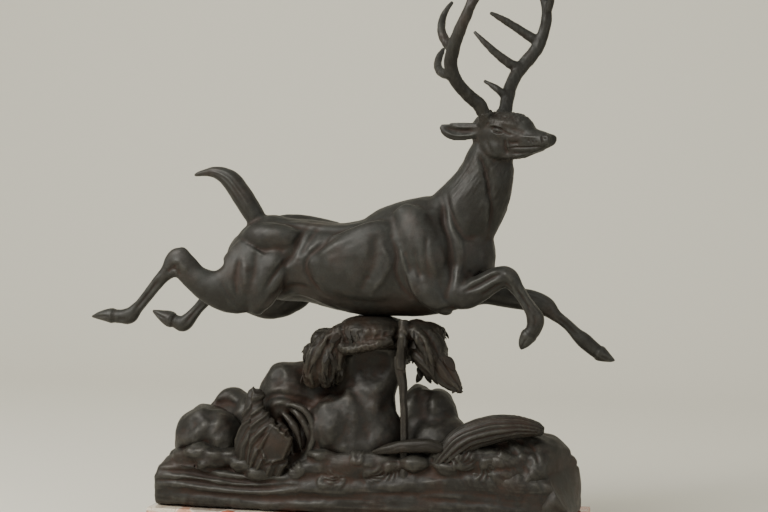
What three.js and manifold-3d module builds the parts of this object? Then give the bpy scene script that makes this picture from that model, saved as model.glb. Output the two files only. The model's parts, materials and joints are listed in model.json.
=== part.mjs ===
// A leaping stag in cast bronze, resting by its belly on a clump of foliage above a rocky
// bronze base, bolted through a marble plinth with a felt sheet under it.
// Millimetres. +X is the way the stag leaps, -Y is its right side, +Z is up.
// The origin is the middle of the underside of the felt sheet.

import * as THREE from 'three';
import { mergeVertices } from 'three/addons/utils/BufferGeometryUtils.js';
import Module from 'manifold-3d';

const wasm = await Module();
wasm.setup();

// Plinth and felt
const plinthLength = 412;
const plinthWidth = 112;
const plinthThick = 36.5;
const plinthChamfer = 2.5;
const feltThick = 1.5;
const feltInset = 3;

// Bronze base casting
const baseInset = 8;           // bare marble left round the bronze
const baseHeight = 34;         // height of the rocky ground along its front edge
const baseWall = 5;            // metal left round the hollow underside
const bossRadius = 10;         // pads that the plinth screws enter
const screwEdge = 34;          // screw centres in from the ends of the plinth
const screwSide = 27;          // screw centres in from the sides of the plinth

// Figure
const bellyHeight = 184;       // lowest point of the belly above the underside of the bronze
const figureScale = 1;         // size of the stag about that point
const castWall = 4.5;          // metal left round the hollow body
const spigotWall = 3;          // sleeve on the neck that enters the body
const dowelRadius = 3.5;       // dowels that hold the legs
const dowelLength = 22;
const smallPinRadius = 1.6;    // pins of the antlers and tenons of the ears
const smallPinLength = 12;
const earTenonLength = 6;
const neckPinRadius = 2.2;
const neckPinSunk = 1.5;       // ends of the neck's pin below the surface of the neck

// Fasteners
const studRadius = 4;
const studNutAcross = 13;
const studNutHigh = 6.5;
const studWasherRadius = 9;
const washerThick = 1.6;
const bossStudRadius = 9;      // boss in the body that the stud enters
const studReach = 30;          // length of the stud inside the body
const screwRadius = 2.5;
const screwHeadRadius = 4.6;
const screwHeadHigh = 4;
const screwGrip = 16;          // length of the screw inside the bronze
const screwWasherRadius = 6.5;
const counterboreDeep = 14;

const gap = 0.3;               // clearance between neighbouring pieces

// Levels and limits that follow from the sizes above
const plinthBottom = feltThick + gap;
const plinthTop = plinthBottom + plinthThick;
const bronzeBottom = plinthTop + gap;
const baseLength = plinthLength - 2 * baseInset;
const baseWidth = plinthWidth - 2 * baseInset;
const halfBase = baseLength / 2;
const halfBaseWide = baseWidth / 2;
const screwX = plinthLength / 2 - screwEdge;
const screwY = plinthWidth / 2 - screwSide;
const studX = -6;              // the stud stands under the middle of the body
const hollowHigh = baseHeight - 2 * baseWall;

const bronze = { color: 0x2b211a, roughness: 0.42, metalness: 0.85 };
const brown = { color: 0x3a2419, roughness: 0.5, metalness: 0.8 };
const marble = { color: 0x9a4a35, roughness: 0.25, metalness: 0 };
const felt = { color: 0x23402c, roughness: 0.95, metalness: 0 };
const steel = { color: 0xa5a7a8, roughness: 0.35, metalness: 1 };

// ---------------------------------------------------------------- solids

function solidOf(geometry) {
  const bare = geometry.clone();
  bare.deleteAttribute('normal');
  bare.deleteAttribute('uv');
  const merged = mergeVertices(bare, 1e-4);
  const vertProperties = new Float32Array(merged.attributes.position.array);
  const triVerts = new Uint32Array(merged.index.array);
  return new wasm.Manifold(new wasm.Mesh({ numProp: 3, vertProperties, triVerts }));
}

function geometryOf(solid) {
  const mesh = solid.getMesh();
  const geometry = new THREE.BufferGeometry();
  geometry.setAttribute('position', new THREE.BufferAttribute(new Float32Array(mesh.vertProperties), 3));
  geometry.setIndex(new THREE.BufferAttribute(new Uint32Array(mesh.triVerts), 1));
  geometry.computeVertexNormals();
  return geometry;
}

const join = (...solids) => solids.reduce((whole, piece) => whole.add(piece));
const cut = (solid, ...tools) => tools.reduce((left, tool) => left.subtract(tool), solid);

// A straight round bar from one point to another.
function bar(from, to, radius, sides = 12) {
  const start = new THREE.Vector3(...from);
  const end = new THREE.Vector3(...to);
  const along = end.clone().sub(start);
  const geometry = new THREE.CylinderGeometry(radius, radius, along.length(), sides);
  const turn = new THREE.Quaternion().setFromUnitVectors(new THREE.Vector3(0, 1, 0), along.normalize());
  geometry.applyQuaternion(turn);
  geometry.translate(...start.add(end).multiplyScalar(0.5).toArray());
  return solidOf(geometry);
}

const upright = (x, y, low, high, radius, sides = 14) => bar([x, y, low], [x, y, high], radius, sides);

function block(length, width, height, x, y, low) {
  const geometry = new THREE.BoxGeometry(length, width, height);
  geometry.translate(x, y, low + height / 2);
  return solidOf(geometry);
}

// One value of a smooth curve through a, b, c, d between b and c.
function between(a, b, c, d, u) {
  const line = (c - a) * u;
  const bend = (2 * a - 5 * b + 4 * c - d) * u * u;
  const twist = (3 * b - a - 3 * c + d) * u * u * u;
  return b + 0.5 * (line + bend + twist);
}

// Reads a table of rows at t, from 0 on the first row to 1 on the last.
function rowAt(rows, t) {
  const place = THREE.MathUtils.clamp(t, 0, 1) * (rows.length - 1);
  const first = Math.min(Math.floor(place), rows.length - 2);
  const a = rows[Math.max(first - 1, 0)];
  const b = rows[first];
  const c = rows[first + 1];
  const d = rows[Math.min(first + 2, rows.length - 1)];
  return b.map((value, k) => between(a[k], value, c[k], d[k], place - first));
}

function directionAt(rows, t) {
  const step = 0.01;
  const [x0, y0, z0] = rowAt(rows, t - step);
  const [x1, y1, z1] = rowAt(rows, t + step);
  return new THREE.Vector3(x1 - x0, y1 - y0, z1 - z0).normalize();
}

// An oval section carried along a path. Each row of the table is a point of the path and
// then half the width, half the depth on the first side and half the depth on the other.
// grow adds to every radius, and from and to take only a stretch of the path.
function loft(rows, { sides = 12, steps = 14, grow = 0, from = 0, to = 1 } = {}) {
  const geometry = new THREE.CylinderGeometry(1, 1, 1, sides, steps);
  const places = geometry.attributes.position;
  const onTube = new THREE.Vector3();
  const right = new THREE.Vector3(0, -1, 0);
  for (let i = 0; i < places.count; i += 1) {
    onTube.fromBufferAttribute(places, i);
    const t = from + (onTube.y + 0.5) * (to - from);
    const [x, y, z, wide, deep, deepOther = deep] = rowAt(rows, t);
    const along = directionAt(rows, t);
    const side = right.clone().addScaledVector(along, -right.dot(along)).normalize();
    const up = new THREE.Vector3().crossVectors(side, along);
    const depth = onTube.z > 0 ? deep : deepOther;
    const point = new THREE.Vector3(x, y, z);
    point.addScaledVector(side, onTube.x * Math.max(wide + grow, 0.4));
    point.addScaledVector(up, onTube.z * Math.max(depth + grow, 0.4));
    places.setXYZ(i, point.x, point.y, point.z);
  }
  return solidOf(geometry);
}

// A dowel along a loft's path, centred on the joint at t. extra widens and lengthens it for its hole.
function dowelAt(rows, t, radius, length, extra = 0) {
  const [x, y, z] = rowAt(rows, t);
  const middle = new THREE.Vector3(x, y, z);
  const half = directionAt(rows, t).multiplyScalar(length / 2 + extra);
  const start = middle.clone().sub(half).toArray();
  const end = middle.clone().add(half).toArray();
  return bar(start, end, radius + extra);
}

// A rough rounded rock: a ball whose radius swells and dips by three slow waves.
function boulder([x, y, z], [long, wide, high], seed, { rough = 0.09, detail = 3, grow = 0 } = {}) {
  const geometry = new THREE.IcosahedronGeometry(1, detail);
  const places = geometry.attributes.position;
  const spot = new THREE.Vector3();
  for (let i = 0; i < places.count; i += 1) {
    spot.fromBufferAttribute(places, i).normalize();
    const first = Math.sin(3.4 * spot.x + 2.1 * spot.z + seed);
    const second = Math.sin(4.3 * spot.y - 1.9 * spot.x + 1.7 * seed);
    const third = Math.sin(5.6 * spot.z + 2.3 * spot.y + 2.9 * seed);
    const swell = 1 + rough * (first + second + third);
    places.setXYZ(
      i,
      x + spot.x * (long * swell + grow),
      y + spot.y * (wide * swell + grow),
      z + spot.z * (high * swell + grow),
    );
  }
  return solidOf(geometry);
}

// ---------------------------------------------------------------- the figure's shapes
// The figure's tables are in its own frame: x along the plinth, y across it, and z up from the
// lowest point of the belly.

function placed(rows) {
  const s = figureScale;
  return rows.map(([x, y, z, ...radii]) => [x * s, y * s, z * s + bellyHeight, ...radii.map((r) => r * s)]);
}

const mirrored = (rows) => rows.map(([x, y, ...rest]) => [x, -y, ...rest]);

// Body, from the rump to the breast: half width, half depth above, half depth below
const bodyRows = placed([
  [-137, 0, 66, 7, 9, 9],
  [-128, 0, 62, 23, 24, 26],
  [-106, 0, 57, 31, 39, 38],
  [-81, 0, 54, 32, 39, 41],
  [-55, 0, 51, 34, 40, 39],
  [-26, 0, 48, 38, 41, 43],
  [4, 0, 48, 40, 47, 48],
  [32, 0, 54, 40, 54, 54],
  [59, 0, 58, 39, 57, 55],
  [84, 0, 60, 35, 55, 51],
  [104, 0, 62, 27, 46, 40],
  [116, 0, 65, 16, 28, 24],
  [122, 0, 66, 5, 9, 8],
]);

// Neck, from inside the chest to the throat behind the jaw
const neckRows = placed([
  [66, 0, 72, 26, 34, 40],
  [86, 0, 92, 27, 34, 38],
  [102, 0, 113, 25, 30, 33],
  [112, -1, 134, 21, 25, 28],
  [117, -3, 153, 17, 21, 23],
  [120, -5, 168, 13, 15, 15],
]);
const neckJoint = 0.42;

// Head, ears, antlers and tines are in the head's frame: forward from the poll, outward, and up
// from the belly.
const headTurn = THREE.MathUtils.degToRad(-24);
const pollX = 106;

function onHead(rows, sign) {
  const cos = Math.cos(headTurn);
  const sin = Math.sin(headTurn);
  return placed(rows.map(([ahead, out, z, ...radii]) => [
    pollX + ahead * cos - sign * out * sin,
    ahead * sin + sign * out * cos,
    z,
    ...radii,
  ]));
}

// Head, from behind the skull to the nose
const headRows = onHead([
  [-4, 0, 172, 7, 10, 10],
  [6, 0, 173, 13, 17, 18],
  [20, 0, 174, 17, 20, 22],
  [34, 0, 173, 17, 19, 23],
  [47, 0, 171, 14, 16, 21],
  [58, 0, 168.5, 11.5, 12.5, 14.5],
  [68, 0, 167.5, 10, 10, 11.5],
  [77, 0, 167, 8.5, 8, 8.5],
  [82.5, 0, 167, 3.5, 3, 3.5],
], 1);

const earRows = [
  [4, 11, 177, 3.5, 4],
  [-3, 15, 176, 3.8, 6.5],
  [-10, 19, 175.5, 3.8, 8.2],
  [-17, 23, 177, 3.2, 7],
  [-22.5, 26, 180, 1.4, 2],
];
const earJoint = 0.16;
const antlerJoint = 0.07;
const antlerTables = {
  right: {
    beam: [[17, 13, 187, 6, 6.5], [16, 16, 195, 6.2, 6.6], [14, 20.5, 202, 6, 6.4], [10, 27.5, 208, 5.8, 6.2],
      [7, 36, 215.5, 5.6, 6], [5, 44, 223.5, 5.7, 6], [5, 50, 232.5, 5.8, 6.2], [7, 53.5, 241.5, 6, 6.4],
      [11, 56, 250.5, 6, 6.2], [17, 58.5, 261, 5.4, 5.8], [24, 60, 272.5, 5, 5.4], [30, 60, 283.5, 4.4, 4.8],
      [33, 59, 294, 3.4, 3.8], [30, 57, 305, 2.2, 2.4], [22, 51.5, 315, 0.8, 0.8]],
    curl: [[6, 50, 229, 4.4, 4.4], [-4, 48.5, 229, 3.8, 3.8], [-12, 45, 232, 3.4, 3.4], [-18, 40, 238, 3, 3],
      [-20, 34, 246, 2.3, 2.3], [-19, 28.5, 253, 0.8, 0.8]],
    upper: [[11, 56, 252, 4.6, 4.6], [1, 53, 258, 4, 4], [-7, 49, 268, 3.4, 3.4], [-10.5, 43, 279, 2.7, 2.7],
      [-9, 38, 288, 1.8, 1.8], [-6, 33, 295, 0.8, 0.8]],
    top: [[33, 59.5, 288, 3.4, 3.4], [39, 58, 298, 2.8, 2.8], [43, 55, 308, 1.9, 1.9], [44, 52, 315, 0.8, 0.8]],
  },
  left: {
    beam: [[18, 13, 187, 6, 6.5], [19, 16, 195, 6.2, 6.6], [18, 21, 206, 6, 6.4], [16.5, 27.5, 216, 5.8, 6.2],
      [16.5, 36, 227.5, 5.8, 6.2], [19.5, 45, 238, 6, 6.4], [25, 51.5, 247.5, 6, 6.4], [29, 56, 256, 6, 6.2],
      [32, 59, 266, 5.4, 5.8], [35, 60, 277.5, 5, 5.4], [36, 60, 288.5, 4.4, 4.8], [33, 59, 300, 3.4, 3.8],
      [28, 57, 311, 2.2, 2.4], [22.5, 51.5, 320.5, 0.8, 0.8]],
    brow: [[17, 20.5, 208, 3.6, 3.6], [12, 17, 214, 2.9, 2.9], [4.5, 15.5, 219, 2.1, 2.1], [-4, 14.5, 223.5, 0.8, 0.8]],
    middle: [[19, 42, 235, 4.6, 4.6], [10.5, 36, 240, 4, 4], [0.5, 29, 249, 3.3, 3.3], [-9, 23, 259.5, 2.3, 2.3],
      [-19, 19, 270, 0.8, 0.8]],
    upper: [[29, 57, 260, 4.6, 4.6], [18, 51.5, 268, 3.9, 3.9], [6, 43, 277.5, 3.1, 3.1], [-3, 36, 284, 2.1, 2.1],
      [-9, 31, 288, 0.8, 0.8]],
    top: [[35, 60, 285, 3.4, 3.4], [41, 58, 296, 2.8, 2.8], [45, 55, 306, 1.9, 1.9], [47, 52, 314, 0.8, 0.8]],
  },
};
const sides = { right: -1, left: 1 };
const beamOf = (side) => onHead(antlerTables[side].beam, sides[side]);

// Hind legs, from inside the haunch to the tip of the hoof
const rightHindRows = placed([
  [-96, -22, 58, 14, 30, 30],
  [-105, -26, 44, 14, 32, 32],
  [-124, -30, 28, 13, 28, 28],
  [-148, -33, 28, 11, 21, 20],
  [-166, -35, 42, 8.5, 15, 15],
  [-180, -36, 51, 7.5, 12, 12],
  [-190, -36, 43, 6.5, 8.5, 9],
  [-203, -36, 25, 6, 7, 7],
  [-216, -36, 8, 7, 7.5, 7.5],
  [-228, -36, -3, 7.5, 7, 8],
  [-244, -36, -4, 8, 7.5, 6],
  [-259, -36, -5, 6.5, 4, 3.5],
  [-269, -36, -5, 3, 1.5, 1.5],
]);
const leftHindRows = placed([
  [-76, 20, 46, 14, 26, 26],
  [-86, 26, 26, 14, 26, 26],
  [-107, 29, 13, 12, 22, 21],
  [-130, 31, 14, 10, 17, 16],
  [-147, 32, 20, 8, 13, 12],
  [-161, 32, 22, 7, 11, 11],
  [-171, 32, 12, 6.5, 8.5, 8],
  [-184, 32, -2, 6, 7, 7],
  [-197, 32, -14, 7, 7.5, 7.5],
  [-207, 32, -15, 7.5, 7.5, 7],
  [-217, 32, -8, 8, 7, 6],
  [-226, 32, -4, 5.5, 4, 4],
  [-233, 32, -3, 2.5, 1.5, 1.5],
]);
const hindJoint = 0.2;

// Forelegs, from inside the shoulder to the tip of the hoof
const rightForeRows = placed([
  [64, -20, 58, 13, 26, 26],
  [75, -25, 40, 13, 26, 24],
  [94, -29, 28, 12, 20, 20],
  [113, -31, 34, 10.5, 14, 16],
  [130, -31, 45, 9.5, 11.5, 13],
  [139, -31, 44, 8.5, 9, 10],
  [146, -31, 30, 6.5, 7.5, 7.5],
  [153, -31, 14, 6, 6.5, 6.5],
  [162, -31, 3, 7.5, 7.5, 7.5],
  [165, -31, -7, 7.5, 7, 7.5],
  [158, -31, -16, 8, 7, 7],
  [152, -31, -22, 4, 3.5, 3.5],
]);
const leftForeRows = placed([
  [72, 18, 46, 13, 26, 26],
  [89, 24, 30, 13, 24, 22],
  [111, 27, 17, 12, 16, 16],
  [133, 27, 13, 10, 12.5, 12],
  [152, 27, 9, 9, 10.5, 10.5],
  [167, 27, 2, 8, 9, 9.5],
  [178, 27, -7, 6.5, 7.5, 7.5],
  [191, 27, -17, 6, 7, 7],
  [202, 27, -25, 7.5, 7.5, 8],
  [212, 27, -28, 8, 6.5, 8],
  [223, 27, -34, 7, 5, 5],
  [230, 27, -38, 3, 2, 2],
]);
const foreJoint = 0.21;

const tailRows = placed([
  [-106, 0, 82, 8, 9, 9],
  [-115, 0, 98, 10, 10.5, 9.5],
  [-126, 0, 115, 11, 11, 9.5],
  [-138, 0, 129, 10, 9.5, 9.5],
  [-152, 0, 136, 8, 6, 6],
  [-165, 0, 135.5, 5, 3.5, 3.5],
  [-175, 0, 133, 2, 1.5, 1.5],
]);
const tailJoint = 0.16;

// ---------------------------------------------------------------- the figure's pieces

const limbSplit = (rows) => gap / 2 / pathLength(rows);

function pathLength(rows) {
  const points = rows.map(([x, y, z]) => new THREE.Vector3(x, y, z));
  return new THREE.CatmullRomCurve3(points).getLength();
}

// The piece beyond the joint of a limb, with the hole for its dowel.
function limbBeyond(rows, joint, radius, length, shape) {
  const from = joint + limbSplit(rows);
  return cut(loft(rows, { ...shape, from }), bodyRoom(), dowelAt(rows, joint, radius, length, gap));
}

const limbShape = { sides: 9, steps: 22 };
const limbs = {
  right_hind_leg: { rows: rightHindRows, joint: hindJoint },
  left_hind_leg: { rows: leftHindRows, joint: hindJoint },
  right_foreleg: { rows: rightForeRows, joint: foreJoint },
  left_foreleg: { rows: leftForeRows, joint: foreJoint },
  tail: { rows: tailRows, joint: tailJoint },
};

const bodyShape = { sides: 14, steps: 16 };
const neckShape = { sides: 12, steps: 8 };
const studTop = bellyHeight + studReach * figureScale;
const bodyRoom = () => loft(bodyRows, { ...bodyShape, grow: gap });

function makeTorso() {
  let solid = join(loft(bodyRows, bodyShape), loft(neckRows, { ...neckShape, to: neckJoint }));
  for (const { rows, joint } of Object.values(limbs)) {
    solid = solid.add(loft(rows, { sides: 9, steps: 4, to: joint - limbSplit(rows) }));
  }
  const core = loft(bodyRows, { ...bodyShape, sides: 10, steps: 8, grow: -castWall, from: 0.3, to: 0.78 });
  const neckBore = loft(neckRows, { ...neckShape, grow: -castWall, from: 0.08, to: neckJoint + 0.1 });
  const boss = upright(studX, 0, bellyHeight - 2, studTop + 2, bossStudRadius);
  solid = cut(solid, core, neckBore);
  solid = solid.add(boss.intersect(loft(bodyRows, { ...bodyShape, grow: -1 })));
  for (const { rows, joint } of Object.values(limbs)) {
    solid = cut(solid, dowelAt(rows, joint, dowelRadius, dowelLength, gap));
  }
  return cut(solid, upright(studX, 0, bellyHeight - 12, studTop + 6, studRadius + gap), neckPin(gap));
}

// The pin crosses the neck's sleeve and both walls of the body round it.
function neckPin(extra = 0) {
  const [x, y, z, wide] = rowAt(neckRows, neckJoint - 0.07);
  const reach = wide - neckPinSunk + extra * 10;
  return bar([x, y - reach, z], [x, y + reach, z], neckPinRadius + extra);
}

function makeHead() {
  const split = limbSplit(neckRows);
  const sleeve = { ...neckShape, steps: 4, from: neckJoint - 0.14, to: neckJoint + 0.1 };
  const outer = join(
    loft(neckRows, { ...neckShape, from: neckJoint + split }),
    loft(headRows, { sides: 12, steps: 13 }),
    loft(neckRows, { ...sleeve, grow: -castWall - gap }),
  );
  const inner = loft(neckRows, { ...neckShape, grow: -castWall - gap - spigotWall, from: neckJoint - 0.25, to: 0.8 });
  let solid = outer;
  for (const [side, sign] of Object.entries(sides)) {
    const beam = beamOf(side);
    const ear = onHead(earRows, sign);
    solid = solid.add(loft(beam, { sides: 10, steps: 3, to: antlerJoint - limbSplit(beam) }));
    solid = solid.add(loft(ear, { sides: 10, steps: 3, to: earJoint - limbSplit(ear) }));
  }
  solid = cut(solid, inner, neckPin(gap));
  for (const [side, sign] of Object.entries(sides)) {
    solid = cut(
      solid,
      dowelAt(beamOf(side), antlerJoint, smallPinRadius, smallPinLength, gap),
      dowelAt(onHead(earRows, sign), earJoint, smallPinRadius, earTenonLength, gap),
    );
  }
  return solid;
}

function makeAntler(side) {
  const { beam, ...tines } = antlerTables[side];
  const rows = onHead(beam, sides[side]);
  let solid = loft(rows, { sides: 8, steps: 20, from: antlerJoint + limbSplit(rows) });
  for (const tine of Object.values(tines)) {
    solid = solid.add(loft(onHead(tine, sides[side]), { sides: 7, steps: 5 }));
  }
  return cut(solid, dowelAt(rows, antlerJoint, smallPinRadius, smallPinLength, gap));
}

function makeEar(sign) {
  const rows = onHead(earRows, sign);
  const tenon = dowelAt(rows, earJoint, smallPinRadius, earTenonLength);
  return loft(rows, { sides: 10, steps: 12, from: earJoint + limbSplit(rows) }).add(tenon);
}

// ---------------------------------------------------------------- the base's pieces

// Height of the rocky ground: low ledges that rise to the middle and round off at the rim.
function groundHeight(x, y) {
  const across = Math.abs(y) / halfBaseWide;
  const ends = Math.abs(x) / halfBase;
  const ledges = 2.5 * Math.sin(x / 29 + y / 21) + 1.5 * Math.sin(x / 13 - y / 17 + 1);
  const rise = 16 * (1 - across ** 2);
  const ends10 = 8 * ends ** 10;
  return baseHeight + rise + ledges - ends10;
}

function groundBlock(grow = 0) {
  const geometry = new THREE.BoxGeometry(baseLength, baseWidth, 1, 24, 7, 3);
  const places = geometry.attributes.position;
  const spot = new THREE.Vector3();
  for (let i = 0; i < places.count; i += 1) {
    spot.fromBufferAttribute(places, i);
    const level = spot.z + 0.5;
    const draw = 1 - 0.035 * level - 0.012 * Math.sin(level * 9 + spot.x / 19);
    const high = groundHeight(spot.x, spot.y) + grow;
    const spread = [1 + grow / halfBase, 1 + grow / halfBaseWide];
    places.setXYZ(i, spot.x * draw * spread[0], spot.y * draw * spread[1], level * high);
  }
  return solidOf(geometry);
}

// The base's tables are drawn for these sizes, and its pieces stretch with the real ones.
const drawnBaseLength = 401;
const drawnBellyHeight = 184;
const lengthwise = baseLength / drawnBaseLength;
const upward = bellyHeight / drawnBellyHeight;

// Each lump of the base is one or more balls: where each stands along, across and up, and its radii
const lumps = {
  central_boulder: [
    { at: [-76, 0, 92], radii: [33, 34, 48] },
    { at: [-18, 2, 72], radii: [52, 42, 62] },
    { at: [-46, -4, 56], radii: [50, 42, 46] },
  ],
  left_boulder: [{ at: [-160, -10, 62], radii: [31, 30, 38] }],
  rear_boulder: [{ at: [-137, 16, 66], radii: [32, 26, 42] }],
  right_rock: [{ at: [60, 6, 66], radii: [34, 32, 50] }],
  end_rock: [{ at: [156, 4, 36], radii: [43, 40, 44] }],
  foliage_clump: [
    { at: [-36, -8, bellyHeight - 38], radii: [26, 28, 30] },
    { at: [14, 0, bellyHeight - 13], radii: [46, 35, 21] },
    { at: [12, 10, bellyHeight - 42], radii: [40, 24, 34] },
    { at: [58, -4, bellyHeight - 26], radii: [27, 30, 26] },
  ],
};

const supports = ['central_boulder', 'right_rock'];   // these rise with the belly

function lumpSolid(name, grow = 0) {
  const rise = supports.includes(name) ? upward : 1;
  const balls = lumps[name].map(({ at: [x, y, z], radii: [long, wide, high] }, i) => {
    const place = [x * lengthwise, y, z * rise];
    return boulder(place, [long * lengthwise, wide, high * rise], i * 1.7 + name.length, { grow, detail: 2 });
  });
  return join(...balls);
}

const studHole = () => upright(studX, 0, -1, studTop + 6, studRadius + gap);

// Leafy spray that droops from the right end of the clump to a point
const sprayRows = [
  [56, -8, bellyHeight - 24, 9, 5],
  [70, -20, bellyHeight - 18, 17, 8],
  [80, -23, bellyHeight - 32, 19, 9],
  [88, -25, bellyHeight - 48, 14, 7],
  [96, -26, bellyHeight - 63, 2, 1.5],
].map(([x, ...rest]) => [x * lengthwise, ...rest]);

// Stem that stands in front and carries the right side of the clump
const stemRows = [
  [44, -37, 36, 9, 10],
  [43, -36, 62, 7, 7],
  [42, -34, 92, 6.5, 6.5],
  [41, -30, 122, 7, 8],
  [42, -24, 146, 9, 11],
].map(([x, y, z, ...radii]) => [x * lengthwise, y, z * upward, ...radii]);

const branchRows = [
  [54, -40, 66, 3, 3],
  [62, -41, 71, 4, 4.5],
  [74, -42, 72, 4.5, 5],
  [86, -41, 68, 4, 4],
  [94, -39, 62, 2, 2],
].map(([x, ...rest]) => [x * lengthwise, ...rest]);

// Plate of bark and leaves that leans on the left of the central boulder
const barkRows = [
  [-74, -43, 34, 5, 22],
  [-78, -43, 58, 6, 24],
  [-86, -41, 84, 6, 20],
  [-98, -37, 104, 5, 12],
  [-106, -34, 115, 2, 4],
].map(([x, ...rest]) => [x * lengthwise, ...rest]);

// Curled frond: a band that rises, rolls over like a wave and ends in a blunt knob
const frondRows = [
  [84, -22, 44, 20, 8.1],
  [92, -22, 66, 22, 9.1],
  [108, -22, 84, 22, 9.1],
  [128, -20, 93, 21, 8.1],
  [147, -18, 93, 18, 7.1],
  [162, -16, 86, 13, 6.1],
  [169, -16, 80, 6, 4.05],
].map(([x, y, z, wide, deep]) => [x * lengthwise, y, z, wide, deep * lengthwise]);

function makeGround() {
  const hollow = block(baseLength - 5 * baseWall, baseWidth - 4 * baseWall, hollowHigh + 1, 0, 0, -1);
  const pads = [];
  for (const x of [-screwX, screwX]) {
    for (const y of [-screwY, screwY]) {
      pads.push(upright(x, y, 0, hollowHigh + 1, bossRadius));
    }
  }
  let solid = join(cut(groundBlock(), hollow), ...pads);
  for (const x of [-screwX, screwX]) {
    for (const y of [-screwY, screwY]) {
      solid = cut(solid, upright(x, y, -1, screwGrip + 2, screwRadius + gap));
    }
  }
  return cut(solid, studHole());
}

// ---------------------------------------------------------------- assembly

const statuette = new THREE.Group();
const casting = new THREE.Group();
casting.position.z = bronzeBottom;
statuette.add(casting);

function addMesh(parent, name, solid, look) {
  const mesh = new THREE.Mesh(geometryOf(solid), new THREE.MeshStandardMaterial(look));
  mesh.name = name;
  parent.add(mesh);
}

addMesh(casting, 'stag_torso', makeTorso(), bronze);
addMesh(casting, 'neck_and_head', makeHead(), bronze);
addMesh(casting, 'neck_cross_pin', neckPin(), brown);
for (const [name, { rows, joint }] of Object.entries(limbs)) {
  addMesh(casting, name, limbBeyond(rows, joint, dowelRadius, dowelLength, limbShape), bronze);
  addMesh(casting, `${name}_dowel`, dowelAt(rows, joint, dowelRadius, dowelLength), brown);
}
for (const [side, sign] of Object.entries(sides)) {
  const pin = dowelAt(beamOf(side), antlerJoint, smallPinRadius, smallPinLength);
  addMesh(casting, `${side}_antler`, makeAntler(side), bronze);
  addMesh(casting, `${side}_antler_pin`, pin, brown);
  addMesh(casting, `${side}_ear`, makeEar(sign), bronze);
}

addMesh(casting, 'rock_base', makeGround(), bronze);
const below = block(2 * baseLength, 2 * baseWidth, plinthTop, 0, 0, gap - plinthTop);
const ground = groundBlock(gap).add(below);
const centralRoom = lumpSolid('central_boulder', gap);
const leftRoom = lumpSolid('left_boulder', gap);
const rightRoom = lumpSolid('right_rock', gap);
const clumpRoom = lumpSolid('foliage_clump', gap);
const stalk = { sides: 10, steps: 12 };
const stemRoom = loft(stemRows, { ...stalk, grow: gap });
const frondRoom = loft(frondRows, { ...stalk, grow: gap });
const fitted = {
  central_boulder: [lumpSolid('central_boulder'), bronze, ground, studHole()],
  left_boulder: [lumpSolid('left_boulder'), bronze, ground, centralRoom],
  rear_boulder: [lumpSolid('rear_boulder'), bronze, ground, centralRoom, leftRoom],
  right_rock: [lumpSolid('right_rock'), bronze, ground, centralRoom],
  end_rock: [lumpSolid('end_rock'), bronze, ground, rightRoom, frondRoom],
  foliage_clump: [lumpSolid('foliage_clump'), bronze, centralRoom, rightRoom, bodyRoom(), studHole()],
  foliage_spray: [loft(sprayRows, stalk), brown, clumpRoom, bodyRoom()],
  bark_plate: [loft(barkRows, stalk), brown, ground, centralRoom, leftRoom],
  stem: [loft(stemRows, stalk), brown, ground, centralRoom, rightRoom, clumpRoom],
  low_branch: [loft(branchRows, stalk), brown, stemRoom, rightRoom, ground, frondRoom],
  curled_frond: [loft(frondRows, stalk), bronze, ground, rightRoom],
};
for (const [name, [solid, look, ...neighbours]] of Object.entries(fitted)) {
  addMesh(casting, name, cut(solid, ...neighbours), look);
}

// Screws from below hold the bronze to the plinth, and the stud holds the stag to the base.
const screwHeadTop = plinthBottom + counterboreDeep;
const shaftLow = screwHeadTop - washerThick - gap;

function makePlinth() {
  const edge = plinthChamfer;
  const profile = new THREE.Shape();
  profile.moveTo(-plinthWidth / 2 + edge, 0);
  profile.lineTo(plinthWidth / 2 - edge, 0);
  profile.lineTo(plinthWidth / 2, edge);
  profile.lineTo(plinthWidth / 2, plinthThick - edge);
  profile.lineTo(plinthWidth / 2 - edge, plinthThick);
  profile.lineTo(-plinthWidth / 2 + edge, plinthThick);
  profile.lineTo(-plinthWidth / 2, plinthThick - edge);
  profile.lineTo(-plinthWidth / 2, edge);
  const geometry = new THREE.ExtrudeGeometry(profile, { depth: plinthLength, bevelEnabled: false });
  geometry.rotateX(Math.PI / 2);
  geometry.rotateZ(Math.PI / 2);
  geometry.translate(-plinthLength / 2, 0, plinthBottom);
  let solid = solidOf(geometry);
  for (const x of [-screwX, screwX]) {
    for (const y of [-screwY, screwY]) {
      solid = cut(
        solid,
        upright(x, y, plinthBottom - 1, screwHeadTop, screwWasherRadius + 1),
        upright(x, y, plinthBottom, plinthTop + 1, screwRadius + 0.5),
      );
    }
  }
  return solid;
}

function makeScrew(x, y) {
  const head = upright(x, y, shaftLow - screwHeadHigh, shaftLow, screwHeadRadius);
  const shank = upright(x, y, shaftLow - 1, bronzeBottom + screwGrip, screwRadius);
  const slot = block(screwHeadRadius * 3, 1.2, 3, x, y, shaftLow - screwHeadHigh - 1.5);
  return cut(head.add(shank), slot);
}

function makeWasher(x, y, low, radius, hole) {
  return cut(upright(x, y, low, low + washerThick, radius), upright(x, y, low - 1, low + washerThick + 1, hole));
}

addMesh(statuette, 'marble_plinth', makePlinth(), marble);
let corner = 0;
const cornerNames = ['left_front', 'left_rear', 'right_front', 'right_rear'];
for (const x of [-screwX, screwX]) {
  for (const y of [-screwY, screwY]) {
    const name = cornerNames[corner];
    addMesh(statuette, `plinth_screw_${name}`, makeScrew(x, y), steel);
    addMesh(statuette, `plinth_washer_${name}`,
      makeWasher(x, y, shaftLow + gap / 2, screwWasherRadius, screwRadius + gap), steel);
    corner += 1;
  }
}

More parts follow.
